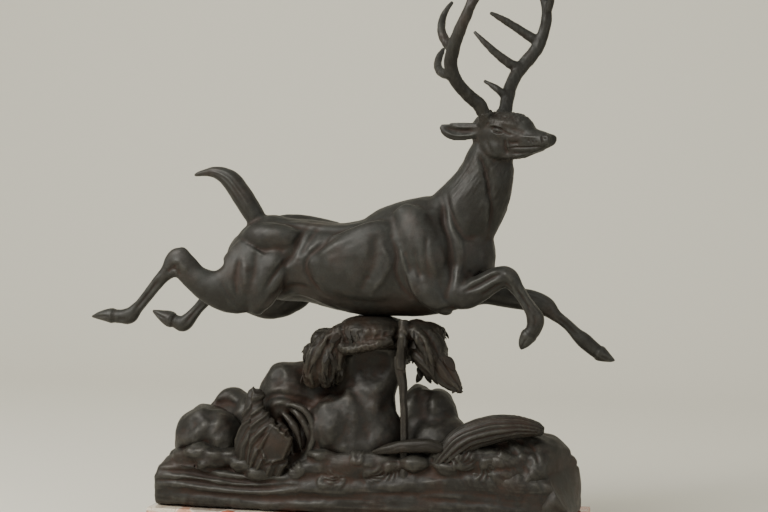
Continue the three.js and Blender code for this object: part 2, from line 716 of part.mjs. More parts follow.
const feltPad = new THREE.BoxGeometry(plinthLength - 2 * feltInset, plinthWidth - 2 * feltInset, feltThick);
const feltMesh = new THREE.Mesh(feltPad, new THREE.MeshStandardMaterial(felt));
feltMesh.name = 'felt_sheet';
feltMesh.position.z = feltThick / 2;
statuette.add(feltMesh);

// The stud's nut and washer sit up inside the hollow underside of the base.
const hollowRoof = hollowHigh;
const nutTop = hollowRoof - gap - washerThick - gap;
const nutGeometry = new THREE.CylinderGeometry(studNutAcross / 1.732, studNutAcross / 1.732, studNutHigh, 6);
nutGeometry.rotateX(Math.PI / 2);
nutGeometry.translate(studX, 0, nutTop - studNutHigh / 2);
addMesh(casting, 'stag_stud', upright(studX, 0, nutTop - studNutHigh - 5, studTop, studRadius), steel);
addMesh(casting, 'stud_nut', cut(solidOf(nutGeometry), upright(studX, 0, 0, nutTop + 1, studRadius + gap)), steel);
addMesh(casting, 'stud_washer', makeWasher(studX, 0, nutTop + gap, studWasherRadius, studRadius + gap), steel);

export default statuette;
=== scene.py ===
import json
import math

import bpy
import numpy as np
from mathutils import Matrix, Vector


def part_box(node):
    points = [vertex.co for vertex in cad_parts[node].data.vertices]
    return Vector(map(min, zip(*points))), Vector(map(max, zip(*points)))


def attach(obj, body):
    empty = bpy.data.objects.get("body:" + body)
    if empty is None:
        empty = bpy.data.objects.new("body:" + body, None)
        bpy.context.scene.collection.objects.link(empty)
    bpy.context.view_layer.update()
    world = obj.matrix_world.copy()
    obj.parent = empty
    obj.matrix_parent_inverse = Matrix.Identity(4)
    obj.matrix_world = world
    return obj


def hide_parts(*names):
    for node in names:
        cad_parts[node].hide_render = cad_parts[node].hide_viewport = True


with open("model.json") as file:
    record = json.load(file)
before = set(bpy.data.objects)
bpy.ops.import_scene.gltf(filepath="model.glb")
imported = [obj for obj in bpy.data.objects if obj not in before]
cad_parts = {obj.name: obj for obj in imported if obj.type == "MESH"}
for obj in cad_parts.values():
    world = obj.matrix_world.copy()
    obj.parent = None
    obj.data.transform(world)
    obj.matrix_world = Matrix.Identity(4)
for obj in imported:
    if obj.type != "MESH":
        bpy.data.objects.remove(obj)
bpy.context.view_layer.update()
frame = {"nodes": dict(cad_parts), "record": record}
print("frame loaded:", len(frame["nodes"]), "castings and fittings")

# Shapes are worked out in millimetres. The stag's tables have z up from the lowest point of the
# belly, and the base's tables have z up from the underside of the bronze.
metre = 0.001
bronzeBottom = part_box("rock_base")[0].z / metre
bellyHeight = 184
bellyLevel = bronzeBottom + bellyHeight
noFans = np.zeros((0, 3), int)


def unit(v):
    return v / np.maximum(np.linalg.norm(v, axis=-1, keepdims=True), 1e-9)


def ease(x):
    x = np.clip(x, 0, 1)
    return x * x * (3 - 2 * x)


# Reads a table at places from 0 on its first row to 1 on its last, along the smooth curve
# through its rows: b + ((c-a)u + (2a-5b+4c-d)u^2 + (3b-a-3c+d)u^3) / 2. A short row repeats
# its last number.
def readTable(rows, places):
    rows = np.array([list(r) + [r[-1]] * (6 - len(r)) for r in rows], float)
    spot = np.clip(places, 0, 1) * (len(rows) - 1)
    first = np.minimum(spot.astype(int), len(rows) - 2)
    u = (spot - first)[:, None]
    a, b = rows[np.maximum(first - 1, 0)], rows[first]
    c, d = rows[first + 1], rows[np.minimum(first + 2, len(rows) - 1)]
    bend = (c - a) * u + (2 * a - 5 * b + 4 * c - d) * u**2 + (3 * b - a - 3 * c + d) * u**3
    return b + 0.5 * bend


# The direction of a table's path, from the places just after and just before.
def aheadOf(rows, places):
    step = 0.01
    return unit(readTable(rows, places + step)[:, :3] - readTable(rows, places - step)[:, :3])


# A table's rows at some places, with the directions sideways and up, square to the path.
def frameAt(rows, places):
    ahead = aheadOf(rows, places)
    right = np.array([0, -1.0, 0])
    side = unit(right - ahead * (ahead @ right)[:, None])
    return readTable(rows, places), side, np.cross(side, ahead)


# An oval carried along a table's path: each ring is centre + side * sin(angle) * half width
# + up * cos(angle) * half depth.
def tube(rows, sides=36, steps=48, start=0, end=1, grow=0):
    row, side, up = frameAt(rows, np.linspace(start, end, steps + 1))
    angle = np.linspace(0, 2 * np.pi, sides, endpoint=False)
    wide = (row[:, 3:4] + grow) * np.sin(angle)
    deep = np.where(np.cos(angle) > 0, row[:, 4:5], row[:, 5:6]) + grow
    rings = row[:, None, :3] + side[:, None] * wide[..., None]
    return closeRings(rings + up[:, None] * (deep * np.cos(angle))[..., None])


# Rings joined by quads, with a fan of triangles to the middle of each end ring.
def closeRings(rings):
    count, sides = rings.shape[:2]
    points = np.concatenate([rings.reshape(-1, 3), rings[0].mean(0)[None], rings[-1].mean(0)[None]])
    i, j = np.meshgrid(np.arange(count - 1), np.arange(sides), indexing="ij")
    k = (j + 1) % sides
    quads = np.stack([i * sides + j, i * sides + k, (i + 1) * sides + k, (i + 1) * sides + j], -1)
    j = np.arange(sides)
    k = (j + 1) % sides
    low, high = count * sides, count * sides + 1
    last = (count - 1) * sides
    fans = np.concatenate([
        np.stack([np.full(sides, low), k, j], -1),
        np.stack([np.full(sides, high), last + j, last + k], -1),
    ])
    return points, quads.reshape(-1, 4), fans


# The squares between a grid's points, which are numbered along each row in turn.
def gridSquares(rows, columns):
    i, j = np.meshgrid(np.arange(rows - 1), np.arange(columns - 1), indexing="ij")
    near, far = i * columns + j, (i + 1) * columns + j
    return np.stack([near, near + 1, far + 1, far], -1).reshape(-1, 4)


# A ball swollen by slow noise and planed by a few flats: radius = the nearest flat along
# each direction, times 1 + rough * noise.
def stone(at, radii, seed, flats=0, rough=0.06, sides=48, rings=32):
    chance = np.random.default_rng(seed)
    pole = np.pi / 2 - 0.04
    tilt = np.linspace(-pole, pole, rings)[:, None]
    turn = np.linspace(0, 2 * np.pi, sides, endpoint=False)[None]
    way = np.stack([np.cos(tilt) * np.cos(turn), np.cos(tilt) * np.sin(turn), np.sin(tilt) + 0 * turn], -1)
    reach = np.ones(way.shape[:2])
    for flat in unit(chance.normal(size=(flats, 3))):
        face = way @ flat
        depth = chance.uniform(0.78, 0.92)
        reach = np.minimum(reach, depth / np.maximum(face, 1e-3))
    swell = softNoise(way.reshape(-1, 3) * 1.7 + seed * 3.1, seed).reshape(reach.shape)
    far = (reach * (1 + rough * swell))[..., None]
    return closeRings(np.array(at, float) + way * far * np.array(radii, float))


# Smooth noise from -1 to 1: a mixed-up value at each whole point of a lattice, eased between.
def softNoise(points, seed=0):
    base = np.floor(points).astype(np.int64)
    part = ease(points - base)
    total = np.zeros(len(points))
    for corner in range(8):
        step = np.array([corner & 1, corner >> 1 & 1, corner >> 2 & 1])
        x, y, z = (base + step).T
        mix = (x * 374761393 + y * 668265263 + z * 1274126177 + seed * 1442695041) & 0xFFFFFFFF
        mix = ((mix ^ (mix >> 13)) * 1103515245) & 0xFFFFFFFF
        value = ((mix ^ (mix >> 16)) & 0xFFFF) / 32767.5 - 1
        total += value * np.where(step == 1, part, 1 - part).prod(1)
    return total


# Noise of a size in millimetres, with finer and weaker layers over it.
def layeredNoise(points, size, layers=2, seed=0):
    total = np.zeros(len(points))
    for layer in range(layers):
        total += softNoise(points * 2**layer / size, seed + layer) / 2**layer
    return total


def joinVolumes(volumes):
    points, quads, fans, start = [], [], [], 0
    for p, q, f in volumes:
        points.append(p)
        quads.append(q + start)
        fans.append(f + start)
        start += len(p)
    return np.concatenate(points), np.concatenate(quads), np.concatenate(fans)


def meshOf(name, points, quads, fans=noFans):
    mesh = bpy.data.meshes.new(name)
    mesh.vertices.add(len(points))
    mesh.vertices.foreach_set("co", points.astype(np.float32).ravel())
    corners = np.concatenate([quads.ravel(), fans.ravel()]).astype(np.int32)
    sizes = np.concatenate([np.full(len(quads), 4), np.full(len(fans), 3)])
    mesh.loops.add(len(corners))
    mesh.loops.foreach_set("vertex_index", corners)
    mesh.polygons.add(len(sizes))
    mesh.polygons.foreach_set("loop_start", (np.cumsum(sizes) - sizes).astype(np.int32))
    mesh.polygons.foreach_set("use_smooth", np.ones(len(sizes), bool))
    mesh.update(calc_edges=True)
    return mesh


# Overlapping closed volumes become one skin of even squares by the Remesh modifier.
def fuse(name, volumes, voxel):
    holder = bpy.data.objects.new(name + "Volumes", meshOf(name, *joinVolumes(volumes)))
    bpy.context.scene.collection.objects.link(holder)
    voxels = holder.modifiers.new("voxels", "REMESH")
    voxels.mode = "VOXEL"
    voxels.voxel_size = voxel
    made = holder.evaluated_get(bpy.context.evaluated_depsgraph_get()).to_mesh()
    points = np.zeros(len(made.vertices) * 3, np.float32)
    made.vertices.foreach_get("co", points)
    corners = np.zeros(len(made.loops), np.int32)
    made.loops.foreach_get("vertex_index", corners)
    bpy.data.objects.remove(holder)
    points, quads = points.reshape(-1, 3).astype(float), corners.reshape(-1, 4).astype(int)
    return points, quads, edgesOf(quads, len(points))


def edgesOf(quads, count):
    ends = np.concatenate([quads[:, [k, (k + 1) % 4]] for k in range(4)])
    ends.sort(axis=1)
    key = np.unique(ends[:, 0] * count + ends[:, 1])
    return key // count, key % count


# The sides that only one square has, which are those of an open rim.
def rimOf(quads, count):
    ends = np.concatenate([quads[:, [k, (k + 1) % 4]] for k in range(4)])
    key = np.minimum(*ends.T) * count + np.maximum(*ends.T)
    _, first, times = np.unique(key, return_index=True, return_counts=True)
    return ends[first[times == 1]]


# The mean of each point's neighbours' values.
def gather(values, ends, count):
    a, b = ends
    columns = []
    for value in values.T:
        columns.append(np.bincount(a, value[b], count) + np.bincount(b, value[a], count))
    number = np.bincount(a, minlength=count) + np.bincount(b, minlength=count)
    return np.stack(columns, 1) / np.maximum(number, 1)[:, None]


# Each point moves part of the way to the mean of its neighbours. With skin given, it only
# moves outwards, which rounds inner corners and leaves ridges sharp.
def relax(points, ends, rounds, pull=0.5, hold=None, skin=None):
    for _ in range(rounds):
        move = pull * (gather(points, ends, len(points)) - points)
        if skin is not None:
            out = normalsOf(points, skin)
            move = out * np.maximum((move * out).sum(1), 0)[:, None]
        if hold is not None:
            move = move * hold[:, None]
        points = points + move
    return points


# A point's normal is the sum of the crossed diagonals of the squares round it.
def normalsOf(points, quads):
    a, b, c, d = (points[quads[:, k]] for k in range(4))
    across = np.cross(c - a, d - b)
    total = np.zeros_like(points)
    for k in range(3):
        total[:, k] = np.bincount(quads.ravel(), np.repeat(across[:, k], 4), len(points))
    return unit(total)


# Distance from each point to a line of points, and the share of the way along it.
def distanceTo(flat, line):
    line = np.array(line, float)
    lengths = np.linalg.norm(np.diff(line, axis=0), axis=1)
    start = np.concatenate([[0], np.cumsum(lengths)])
    best, place = np.full(len(flat), 1e9), np.zeros(len(flat))
    for k, length in enumerate(lengths):
        step = (line[k + 1] - line[k]) / max(length, 1e-9)
        along = np.clip((flat - line[k]) @ step, 0, length)
        gap = np.linalg.norm(flat - line[k] - along[:, None] * step, axis=1)
        nearer = gap < best
        best = np.where(nearer, gap, best)
        place = np.where(nearer, (start[k] + along) / start[-1], place)
    return best, place


# A chased stroke: height * exp(-(distance / width)^2), fading to a quarter at both ends.
def stroke(flat, line, width, height):
    bend = readTable([[*p, 0, 0, 0, 0] for p in line], np.linspace(0, 1, 6 * len(line)))
    gap, place = distanceTo(flat, bend[:, : len(line[0])])
    faded = 0.25
    ends = ease(np.minimum(place, 1 - place) / faded)
    return height * np.exp(-((gap / width) ** 2)) * (faded + (1 - faded) * ends)


# Strokes as seen from the side, added along the normals where the weight lets them.
def chase(points, out, strokes, weight):
    flat = points[:, [0, 2]]
    total = np.zeros(len(points))
    for line, width, height in strokes:
        spot = np.array(line, float)
        reach = 3 * width
        near = ((flat > spot.min(0) - reach) & (flat < spot.max(0) + reach)).all(1) & (weight > 0.01)
        total[near] += stroke(flat[near], line, width, height) * weight[near]
    return points + out * total[:, None]


# Each square becomes four, which meet at its centre and at the middles of its sides.
def splitSquares(points, quads):
    count = len(points)
    a, b = edgesOf(quads, count)
    key = a * count + b
    order = np.argsort(key)
    middle = (points[a] + points[b]) / 2
    sides = []
    for k in range(4):
        one, two = quads[:, k], quads[:, (k + 1) % 4]
        wanted = np.minimum(one, two) * count + np.maximum(one, two)
        sides.append(count + order[np.searchsorted(key[order], wanted)])
    centre = count + len(a) + np.arange(len(quads))
    parts = [np.stack([quads[:, k], sides[k], centre, sides[k - 1]], 1) for k in range(4)]
    return np.concatenate([points, middle, points[quads].mean(1)]), np.concatenate(parts)


# The squares picked out, with a shallow lid over each open rim so that the piece is closed.
def lidded(points, quads, picked):
    used, inverse = np.unique(quads[picked], return_inverse=True)
    chosen = inverse.reshape(-1, 4)
    some = points[used]
    rim = rimOf(chosen, len(some))
    if len(rim) == 0:
        return some, chosen, noFans, used
    group = {int(v): int(v) for v in np.unique(rim)}

    def root(v):
        while group[v] != v:
            v = group[v]
        return v

    for one, two in rim.tolist():
        group[root(one)] = root(two)
    roots = np.array([root(int(a)) for a in rim[:, 0]])
    fans, extra = [], []
    for name in np.unique(roots):
        loop = rim[roots == name]
        hub = np.full(len(loop), len(some) + len(extra))
        extra.append(some[np.unique(loop)].mean(0))
        fans.append(np.stack([hub, loop[:, 1], loop[:, 0]], 1))
    return np.concatenate([some, np.array(extra)]), chosen, np.concatenate(fans), used


def padded(values, count):
    return np.concatenate([values, np.zeros((count - len(values), *values.shape[1:]))])


# Marks for the patina's russet, the painted shade in deep hollows and the painted highlight on
# proud edges: how far each point lies under (+) or over (-) the smoothed skin. The look is the
# rounds of smoothing, fine and broad, and the depth in millimetres that counts as full for each.
def hollowAndRidgeMarks(points, quads, look=(4, 26, 0.25, 1.4)):
    ends = edgesOf(quads, len(points))
    out = normalsOf(points, quads)
    marks = {}
    for mark, rounds, full in zip(("fine", "broad"), look[:2], look[2:]):
        sunk = ((relax(points, ends, rounds, 0.6) - points) * out).sum(1) / full
        marks[mark] = np.clip(sunk, -1, 1)
    return marks


def addPiece(name, points, quads, fans, level, shade, stands, normals=None, marks=None):
    mesh = meshOf(name, (points + np.array([0, 0, level])) * metre, quads, fans)
    for mark, values in (marks or {}).items():
        layer = mesh.attributes.new(mark, "FLOAT", "POINT")
        layer.data.foreach_set("value", values.astype(np.float32))
    if normals is not None:
        mesh.normals_split_custom_set_from_vertices(normals.astype(np.float32))
    piece = bpy.data.objects.new(name, mesh)
    bpy.context.scene.collection.objects.link(piece)
    mesh.materials.append(shade)
    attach(piece, "root")
    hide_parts(*stands)
    print(name, len(points), "points")
    return piece


# A part of the stag cut out of the fused skin, with lids over its cuts.
def addCutPiece(name, points, quads, picked, normals, marks, shade, stands):
    some, squares, lids, used = lidded(points, quads, picked)
    lidNormals = np.tile([0, 0, 1.0], (len(some) - len(used), 1))
    normals = np.concatenate([normals[used], lidNormals])
    marks = {mark: padded(values[used], len(some)) for mark, values in marks.items()}
    addPiece(name, some, squares, lids, bellyLevel, shade, stands, normals, marks)


# The stag's tables are rows of x, y, z, half width, depth above and depth below.
bodyRows = [
    [-137, 0, 66, 7, 9], [-128, 0, 62, 23, 24, 26], [-106, 0, 57, 31, 39, 38], [-81, 0, 54, 32, 39, 41],
    [-55, 0, 51, 34, 40, 39], [-26, 0, 48, 38, 41, 43], [4, 0, 48, 40, 47, 48], [32, 0, 54, 40, 54],
    [59, 0, 58, 39, 57, 55], [84, 0, 60, 35, 55, 51], [104, 0, 62, 27, 46, 40],
    [116, 0, 65, 16, 28, 24], [122, 0, 66, 5, 9, 8],
]
neckRows = [
    [66, 0, 72, 26, 34, 40], [86, 0, 92, 27, 34, 38], [102, 0, 113, 25, 30, 33],
    [112, -1, 134, 21, 25, 28], [117, -3, 153, 17, 21, 23], [120, -5, 168, 13, 15],
]
headRows = [
    [-4, 0, 172, 7, 10], [6, 0, 174, 13, 18], [20, 0, 175, 16.5, 19.5, 22],
    [33, 0, 174.5, 16, 19.5, 23], [43, 0, 173.5, 14.5, 19.5, 22], [50, 0, 172, 12.5, 17.5, 20],
    [56, 0, 170, 11, 13.5, 16], [62, 0, 168.8, 10, 10.8, 12.2], [70, 0, 168.2, 9.6, 9, 9.6],
    [76.5, 0, 168, 9.2, 7.4, 6.8], [81.4, 0, 168.2, 8, 5.8, 4.8],
]
# Legs and tail: the joint and the coronet are places on the table. Strokes run along a limb:
# places on its table, how far off its middle line in shares of its depth, width and height.
limbs = {
    "rightHindLeg": {
        "stands": ["right_hind_leg"], "joint": 0.16, "coronet": 0.835,
        "rows": [
            [-96, -22, 58, 14, 30], [-105, -26, 44, 14, 32], [-124, -30, 28, 13, 27, 28],
            [-145, -33, 27, 11.5, 17.5], [-163, -35, 37, 9, 13], [-173, -36, 47, 7.5, 13],
            [-179, -36, 50, 7, 14, 15], [-190.5, -36, 40.5, 6.2, 7.5], [-200, -36, 31, 5.8, 6.2],
            [-211, -36, 17.5, 5.6, 5.4], [-221, -36, 6, 6.4, 5.8], [-229, -36, -1.5, 7.5, 8.4],
            [-239, -36, -2.4, 7, 6.9], [-249, -36, -1.8, 8.2, 7.2], [-258, -36, -2.2, 6.5, 4.6],
            [-269, -36, -3.5, 2.2, 0.9],
        ],
        "strokes": [
            ((0.3, 0.43), 0.5, 2.4, -1.5), ((0.29, 0.42), -0.15, 2.8, 1),
            ((0.38, 0.46), 0.1, 2.6, -1.6), ((0.5, 0.68), 0.1, 1.5, -1.2), ((0.5, 0.68), 0.7, 1.4, 0.8),
            ((0.5, 0.68), -0.6, 1.4, 0.6), ((0.74, 0.8), 0.2, 1.6, -0.8), ((0.86, 0.985), 0, 1, -0.9),
        ],
    },
    "leftHindLeg": {
        "stands": ["left_hind_leg"], "joint": 0.2, "coronet": 0.79,
        "rows": [
            [-76, 20, 46, 14, 26], [-86, 26, 26, 14, 26], [-107, 29, 13, 12, 22, 21],
            [-130, 31, 14, 10, 17, 16], [-147, 32, 20, 8, 13, 12], [-161, 32, 22, 7, 11],
            [-171, 32, 13, 6, 7.5], [-184, 32, -1, 5.4, 5.6], [-198, 32, -15.5, 6.8, 8],
            [-207, 32, -13.5, 6.6, 6.8], [-214, 32, -11, 8, 8.2], [-224, 32, -6.8, 5.8, 4.6],
            [-232, 32, -3, 2.2, 0.9],
        ],
        "strokes": [
            ((0.36, 0.5), 0.4, 2, -0.8), ((0.54, 0.66), 0.1, 1.5, -1), ((0.54, 0.66), 0.65, 1.4, 0.6),
            ((0.84, 0.98), 0, 1, -0.9),
        ],
    },
    "rightForeleg": {
        "stands": ["right_foreleg"], "joint": 0.165, "coronet": 0.825,
        "rows": [
            [64, -20, 58, 13, 26], [75, -25, 40, 13, 26, 24], [97, -29, 26, 12, 15],
            [112, -31, 31, 10.5, 12.8], [122, -31, 37, 9.6, 11.4], [132, -31, 42, 8.8, 10.6],
            [140.5, -31, 42.5, 8, 9.6], [148, -31, 33.5, 6.6, 7], [154, -31, 25, 5.8],
            [161, -31, 14.5, 6.2], [166, -31, 5, 7.4, 8.6], [164.5, -31, -4.5, 7.2, 7.4],
            [159, -31, -12, 8, 7.4], [155, -31, -18.5, 6.4, 5.4], [152.3, -31, -24, 2.4, 1.2],
        ],
        "strokes": [
            ((0.17, 0.4), 0.6, 2, 1.2), ((0.17, 0.38), 0.25, 1.7, -1.9), ((0.2, 0.4), -0.15, 2, 1),
            ((0.22, 0.4), -0.55, 1.8, -1.5), ((0.4, 0.47), 0.3, 2.2, 1.3), ((0.42, 0.5), -0.5, 1.8, -1),
            ((0.5, 0.66), 0.1, 1.4, -1.8), ((0.5, 0.68), 0.7, 1.4, 1.2), ((0.52, 0.68), -0.6, 1.4, 0.9),
            ((0.68, 0.76), 0.1, 1.6, -0.9), ((0.86, 0.98), 0, 1, -0.9),
        ],
    },
    "leftForeleg": {
        "stands": ["left_foreleg"], "joint": 0.165, "coronet": 0.825,
        "rows": [
            [72, 18, 46, 13, 26], [89, 24, 30, 13, 24, 22], [111, 27, 24, 12, 13],
            [133, 27, 18.5, 10, 10.5], [150, 27, 16.5, 9.4, 10.3], [160, 27, 14, 8.6, 9.8],
            [168, 27, 9.5, 7.8, 9], [175, 27, 3, 6.4, 6], [186, 27, -5, 5.6, 5.2],
            [196, 27, -15, 6.2, 6.4], [203, 27, -20.5, 7.2, 7.6], [211, 27, -27.5, 7.4, 7],
            [219, 27, -33, 8, 7], [227, 27, -37, 6, 3.6], [233, 27, -39.2, 2.2, 0.9],
        ],
        "strokes": [
            ((0.17, 0.4), 0.4, 2, -0.9), ((0.22, 0.4), -0.3, 2, 0.7), ((0.52, 0.66), 0.1, 1.4, -1.2),
            ((0.52, 0.66), 0.65, 1.4, 0.8), ((0.86, 0.98), 0, 1, -0.9),
        ],
    },
    "stagTail": {
        "stands": ["tail"], "joint": 0.16,
        "rows": [
            [-106, 0, 82, 8, 9], [-115, 0, 98, 10, 10.5, 9.5], [-126, 0, 115, 11, 11, 9.5],
            [-138, 0, 129, 10, 9.5], [-152, 0, 136, 8, 6], [-165, 0, 135.5, 5, 3.5],
            [-175, 0, 133, 2, 1.5],
        ],
        "strokes": [
            ((0.2, 0.9), 0.45, 1.3, -0.8), ((0.2, 0.95), 0.05, 1.3, -0.9),
            ((0.25, 0.9), -0.4, 1.3, -0.8),
        ],
    },
}
head = {"turn": math.radians(-24), "poll": 106, "floor": 148, "rear": -26}
neck = {"joint": 0.42, "top": 128, "hairFrom": 0.25, "hairTo": 168, "hairHeight": 0.5, "hairSize": 3.6}
stag = {
    "voxel": 1.15, "cutWidth": 1.45, "backWidth": 3, "backDepth": -1.2, "handHeight": 0.28, "handSize": 9,
    "hoofGroove": 0.4, "hoofEdge": 0.012, "hoofDrop": 0.022, "labelRounds": 6,
}

# Muscles laid on both sides of the body, each an oval carried along its own short path
muscles = {
    "hip": [
        [-118, 15, 74, 6, 7], [-106, 20, 75, 12, 14], [-88, 23, 76, 13, 15], [-70, 23, 75, 11, 12],
        [-60, 22, 74, 5, 6],
    ],
    "thighFront": [
        [-78, 22, 66, 6, 8], [-84, 27, 52, 12, 15], [-93, 30, 34, 12, 18], [-102, 30, 14, 10, 14],
        [-104, 28, 3, 5, 6],
    ],
    "thighRear": [
        [-112, 18, 68, 8, 10], [-117, 24, 52, 12, 14], [-126, 29, 34, 12, 17], [-138, 31, 24, 9, 12],
    ],
    "ribs": [
        [-44, 20, 50, 8, 12], [-30, 27, 50, 13, 26], [-6, 29, 52, 14, 34], [20, 29, 56, 14, 38],
        [44, 24, 60, 9, 30],
    ],
    "shoulderBlade": [
        [36, 20, 104, 6, 8], [46, 25, 92, 11, 18], [56, 29, 74, 13, 22], [66, 31, 56, 13, 20],
        [72, 29, 40, 10, 14],
    ],
    "upperArm": [
        [46, 26, 60, 7, 10], [56, 31, 44, 11, 15], [66, 33, 30, 12, 14], [78, 33, 18, 10, 11],
        [86, 31, 12, 5, 6],
    ],
    "breast": [[84, 10, 70, 10, 14], [98, 12, 62, 13, 18], [106, 11, 50, 11, 14], [100, 12, 34, 8, 9]],
    "loin": [[-96, 9, 86, 6], [-60, 11, 81, 9], [-24, 12, 80, 9, 8], [10, 12, 86, 8, 7]],
    "elbow": [[70, 27, 24, 6, 7], [79, 29, 14, 6.5, 8], [88, 30, 12, 5, 5.5]],
}
# Points of the hocks, each on its own leg
hockTips = [
    [
        [-158, -35, 44, 3.4, 5], [-167, -36, 54, 3.6, 4.6], [-173, -36, 61.5, 3.4, 4],
        [-177, -36, 65, 2.4, 2],
    ],
    [[-144, 32, 22, 3.4, 5], [-152, 32, 29, 3.6, 4.6], [-157, 32, 34, 3.2, 3.6], [-160, 32, 36, 2]],
]
# Only the side that it is on
farHip = [[-108, 14, 84, 8], [-84, 20, 84, 12], [-58, 22, 82, 12, 11], [-34, 20, 80, 7, 8]]


def otherSide(rows):
    return [[x, -y, *rest] for x, y, *rest in rows]


# A table in the head's own directions, ahead and outward, turned to the stag's.
def onHead(rows, sign):
    c, s = math.cos(head["turn"]), math.sin(head["turn"])
    return [[head["poll"] + a * c - sign * o * s, a * s + sign * o * c, *rest] for a, o, *rest in rows]


# A point of the figure in the head's own directions: ahead, outward to the left, and up
def headFrame(points):
    c, s = math.cos(head["turn"]), math.sin(head["turn"])
    x, y = points[:, 0] - head["poll"], points[:, 1]
    return np.stack([x * c + y * s, y * c - x * s, points[:, 2]], 1)


# Brow, cheek, jaw and muzzle are laid on the plain head in the same way.
headMuscles = {
    "brow": [
        [20, 10, 186, 4], [27, 12.6, 185, 4.6, 4], [35, 12.8, 184.4, 4.6, 3.8], [43, 11, 183.5, 4, 3.6],
        [50, 8, 181.5, 3],
    ],
    "cheek": [
        [14, 9, 167, 5.6, 9], [23, 10.8, 165, 5.8, 12], [31, 10.6, 162.4, 5.4, 10.5],
        [38, 9, 160.5, 3, 6],
    ],
    "cheekBone": [
        [22, 13.4, 174.5, 3, 2.6], [32, 14, 172.4, 3.2, 2.6], [43, 11.6, 170.6, 3, 2.8],
        [54, 9, 169.6, 2.6],
    ],
    "jaw": [
        [12, 7, 159, 4, 6], [22, 8, 156.5, 5, 6], [34, 7.6, 155, 4.5, 4.6], [48, 5.6, 155.4, 3.6, 3.8],
        [60, 4, 158.2, 3, 2.8], [70, 3.4, 160.6, 3, 2],
    ],
    "lip": [
        [54, 6.4, 165.4, 3, 2.8], [64, 6.2, 166, 3.4, 3.8], [72, 5.6, 166.6, 3.6, 4.4],
        [76, 5, 166.6, 2.6, 3.6],
    ],
    "nosePad": [[75.5, 4.6, 169, 3.6, 4.6], [78.6, 4.4, 168.8, 4.2, 5.2], [81.6, 3.6, 168.4, 4.2, 5]],
    "eye": [
        [27.4, 12.9, 178.6, 1.2], [29.4, 13.4, 178.2, 2.6, 2.4], [32.4, 13.9, 177.6, 3.2, 3],
        [35.4, 13.4, 177, 2.6, 2.3], [37.4, 12.8, 176.4, 1.2],
    ],
    "ear": [
        [14, 10, 178, 4, 5], [5, 13, 177, 3.4, 7.2], [-4, 16, 176.2, 2.8, 8.6],
        [-13, 19, 176, 2.5, 8.8], [-20, 21.5, 177.2, 2.1, 7.2], [-24, 23, 179.4, 1.7, 4.8],
        [-27, 24, 181.8, 1.2, 2.2],
    ],
    "pedicle": [
        [14, 9, 180, 6, 7], [16, 12, 186, 6.4, 7], [17.5, 13.5, 191, 6.6, 7], [18, 15.5, 195, 6.4, 6.8],
    ],
}
antlers = {
    "rightAntler": {
        "side": -1, "stands": ["right_antler"],
        "beam": [
            [17, 13, 187, 6, 6.5], [16, 16, 195, 6.2, 6.6], [14, 20.5, 202, 6, 6.4],
            [10, 27.5, 208, 5.8, 6.2], [7, 36, 215.5, 5.6, 6], [5, 44, 223.5, 5.7, 6],
            [5, 50, 232.5, 5.8, 6.2], [7, 53.5, 241.5, 6, 6.4], [11, 56, 250.5, 6, 6.2],
            [17, 58.5, 261, 5.4, 5.8], [24, 60, 272.5, 5, 5.4], [30, 60, 283.5, 4.4, 4.8],
            [33, 59, 294, 3.4, 3.8], [30, 57, 305, 2.2, 2.4], [22, 51.5, 315, 0.8],
        ],
        "tines": [
            [
                [6, 50, 229, 4.4], [-4, 48.5, 229, 3.8], [-12, 45, 232, 3.4], [-18, 40, 238, 3],
                [-20, 34, 246, 2.3], [-19, 28.5, 253, 0.8],
            ],
            [
                [11, 56, 252, 4.6], [1, 53, 258, 4], [-7, 49, 268, 3.4], [-10.5, 43, 279, 2.7],
                [-9, 38, 288, 1.8], [-6, 33, 295, 0.8],
            ],
            [[33, 59.5, 288, 3.4], [39, 58, 298, 2.8], [43, 55, 308, 1.9], [44, 52, 315, 0.8]],
        ],
    },
    "leftAntler": {
        "side": 1, "stands": ["left_antler"],
        "beam": [
            [18, 13, 187, 6, 6.5], [19, 16, 195, 6.2, 6.6], [18, 21, 206, 6, 6.4],
            [16.5, 27.5, 216, 5.8, 6.2], [16.5, 36, 227.5, 5.8, 6.2], [19.5, 45, 238, 6, 6.4],
            [25, 51.5, 247.5, 6, 6.4], [29, 56, 256, 6, 6.2], [32, 59, 266, 5.4, 5.8],
            [35, 60, 277.5, 5, 5.4], [36, 60, 288.5, 4.4, 4.8], [33, 59, 300, 3.4, 3.8],
            [28, 57, 311, 2.2, 2.4], [22.5, 51.5, 320.5, 0.8],
        ],
        "tines": [
            [[17, 20.5, 208, 3.6], [12, 17, 214, 2.9], [4.5, 15.5, 219, 2.1], [-4, 14.5, 223.5, 0.8]],
            [
                [19, 42, 235, 4.6], [10.5, 36, 240, 4], [0.5, 29, 249, 3.3], [-9, 23, 259.5, 2.3],
                [-19, 19, 270, 0.8],
            ],
            [
                [29, 57, 260, 4.6], [18, 51.5, 268, 3.9], [6, 43, 277.5, 3.1], [-3, 36, 284, 2.1],
                [-9, 31, 288, 0.8],
            ],
            [[35, 60, 285, 3.4], [41, 58, 296, 2.8], [45, 55, 306, 1.9], [47, 52, 314, 0.8]],
        ],
    },
}
antlerSkin = {
    "voxel": 0.75, "rootSwell": 0.7, "furrow": 0.28, "furrowSize": 2.6, "pearl": 0.2, "pearlSize": 7,
}

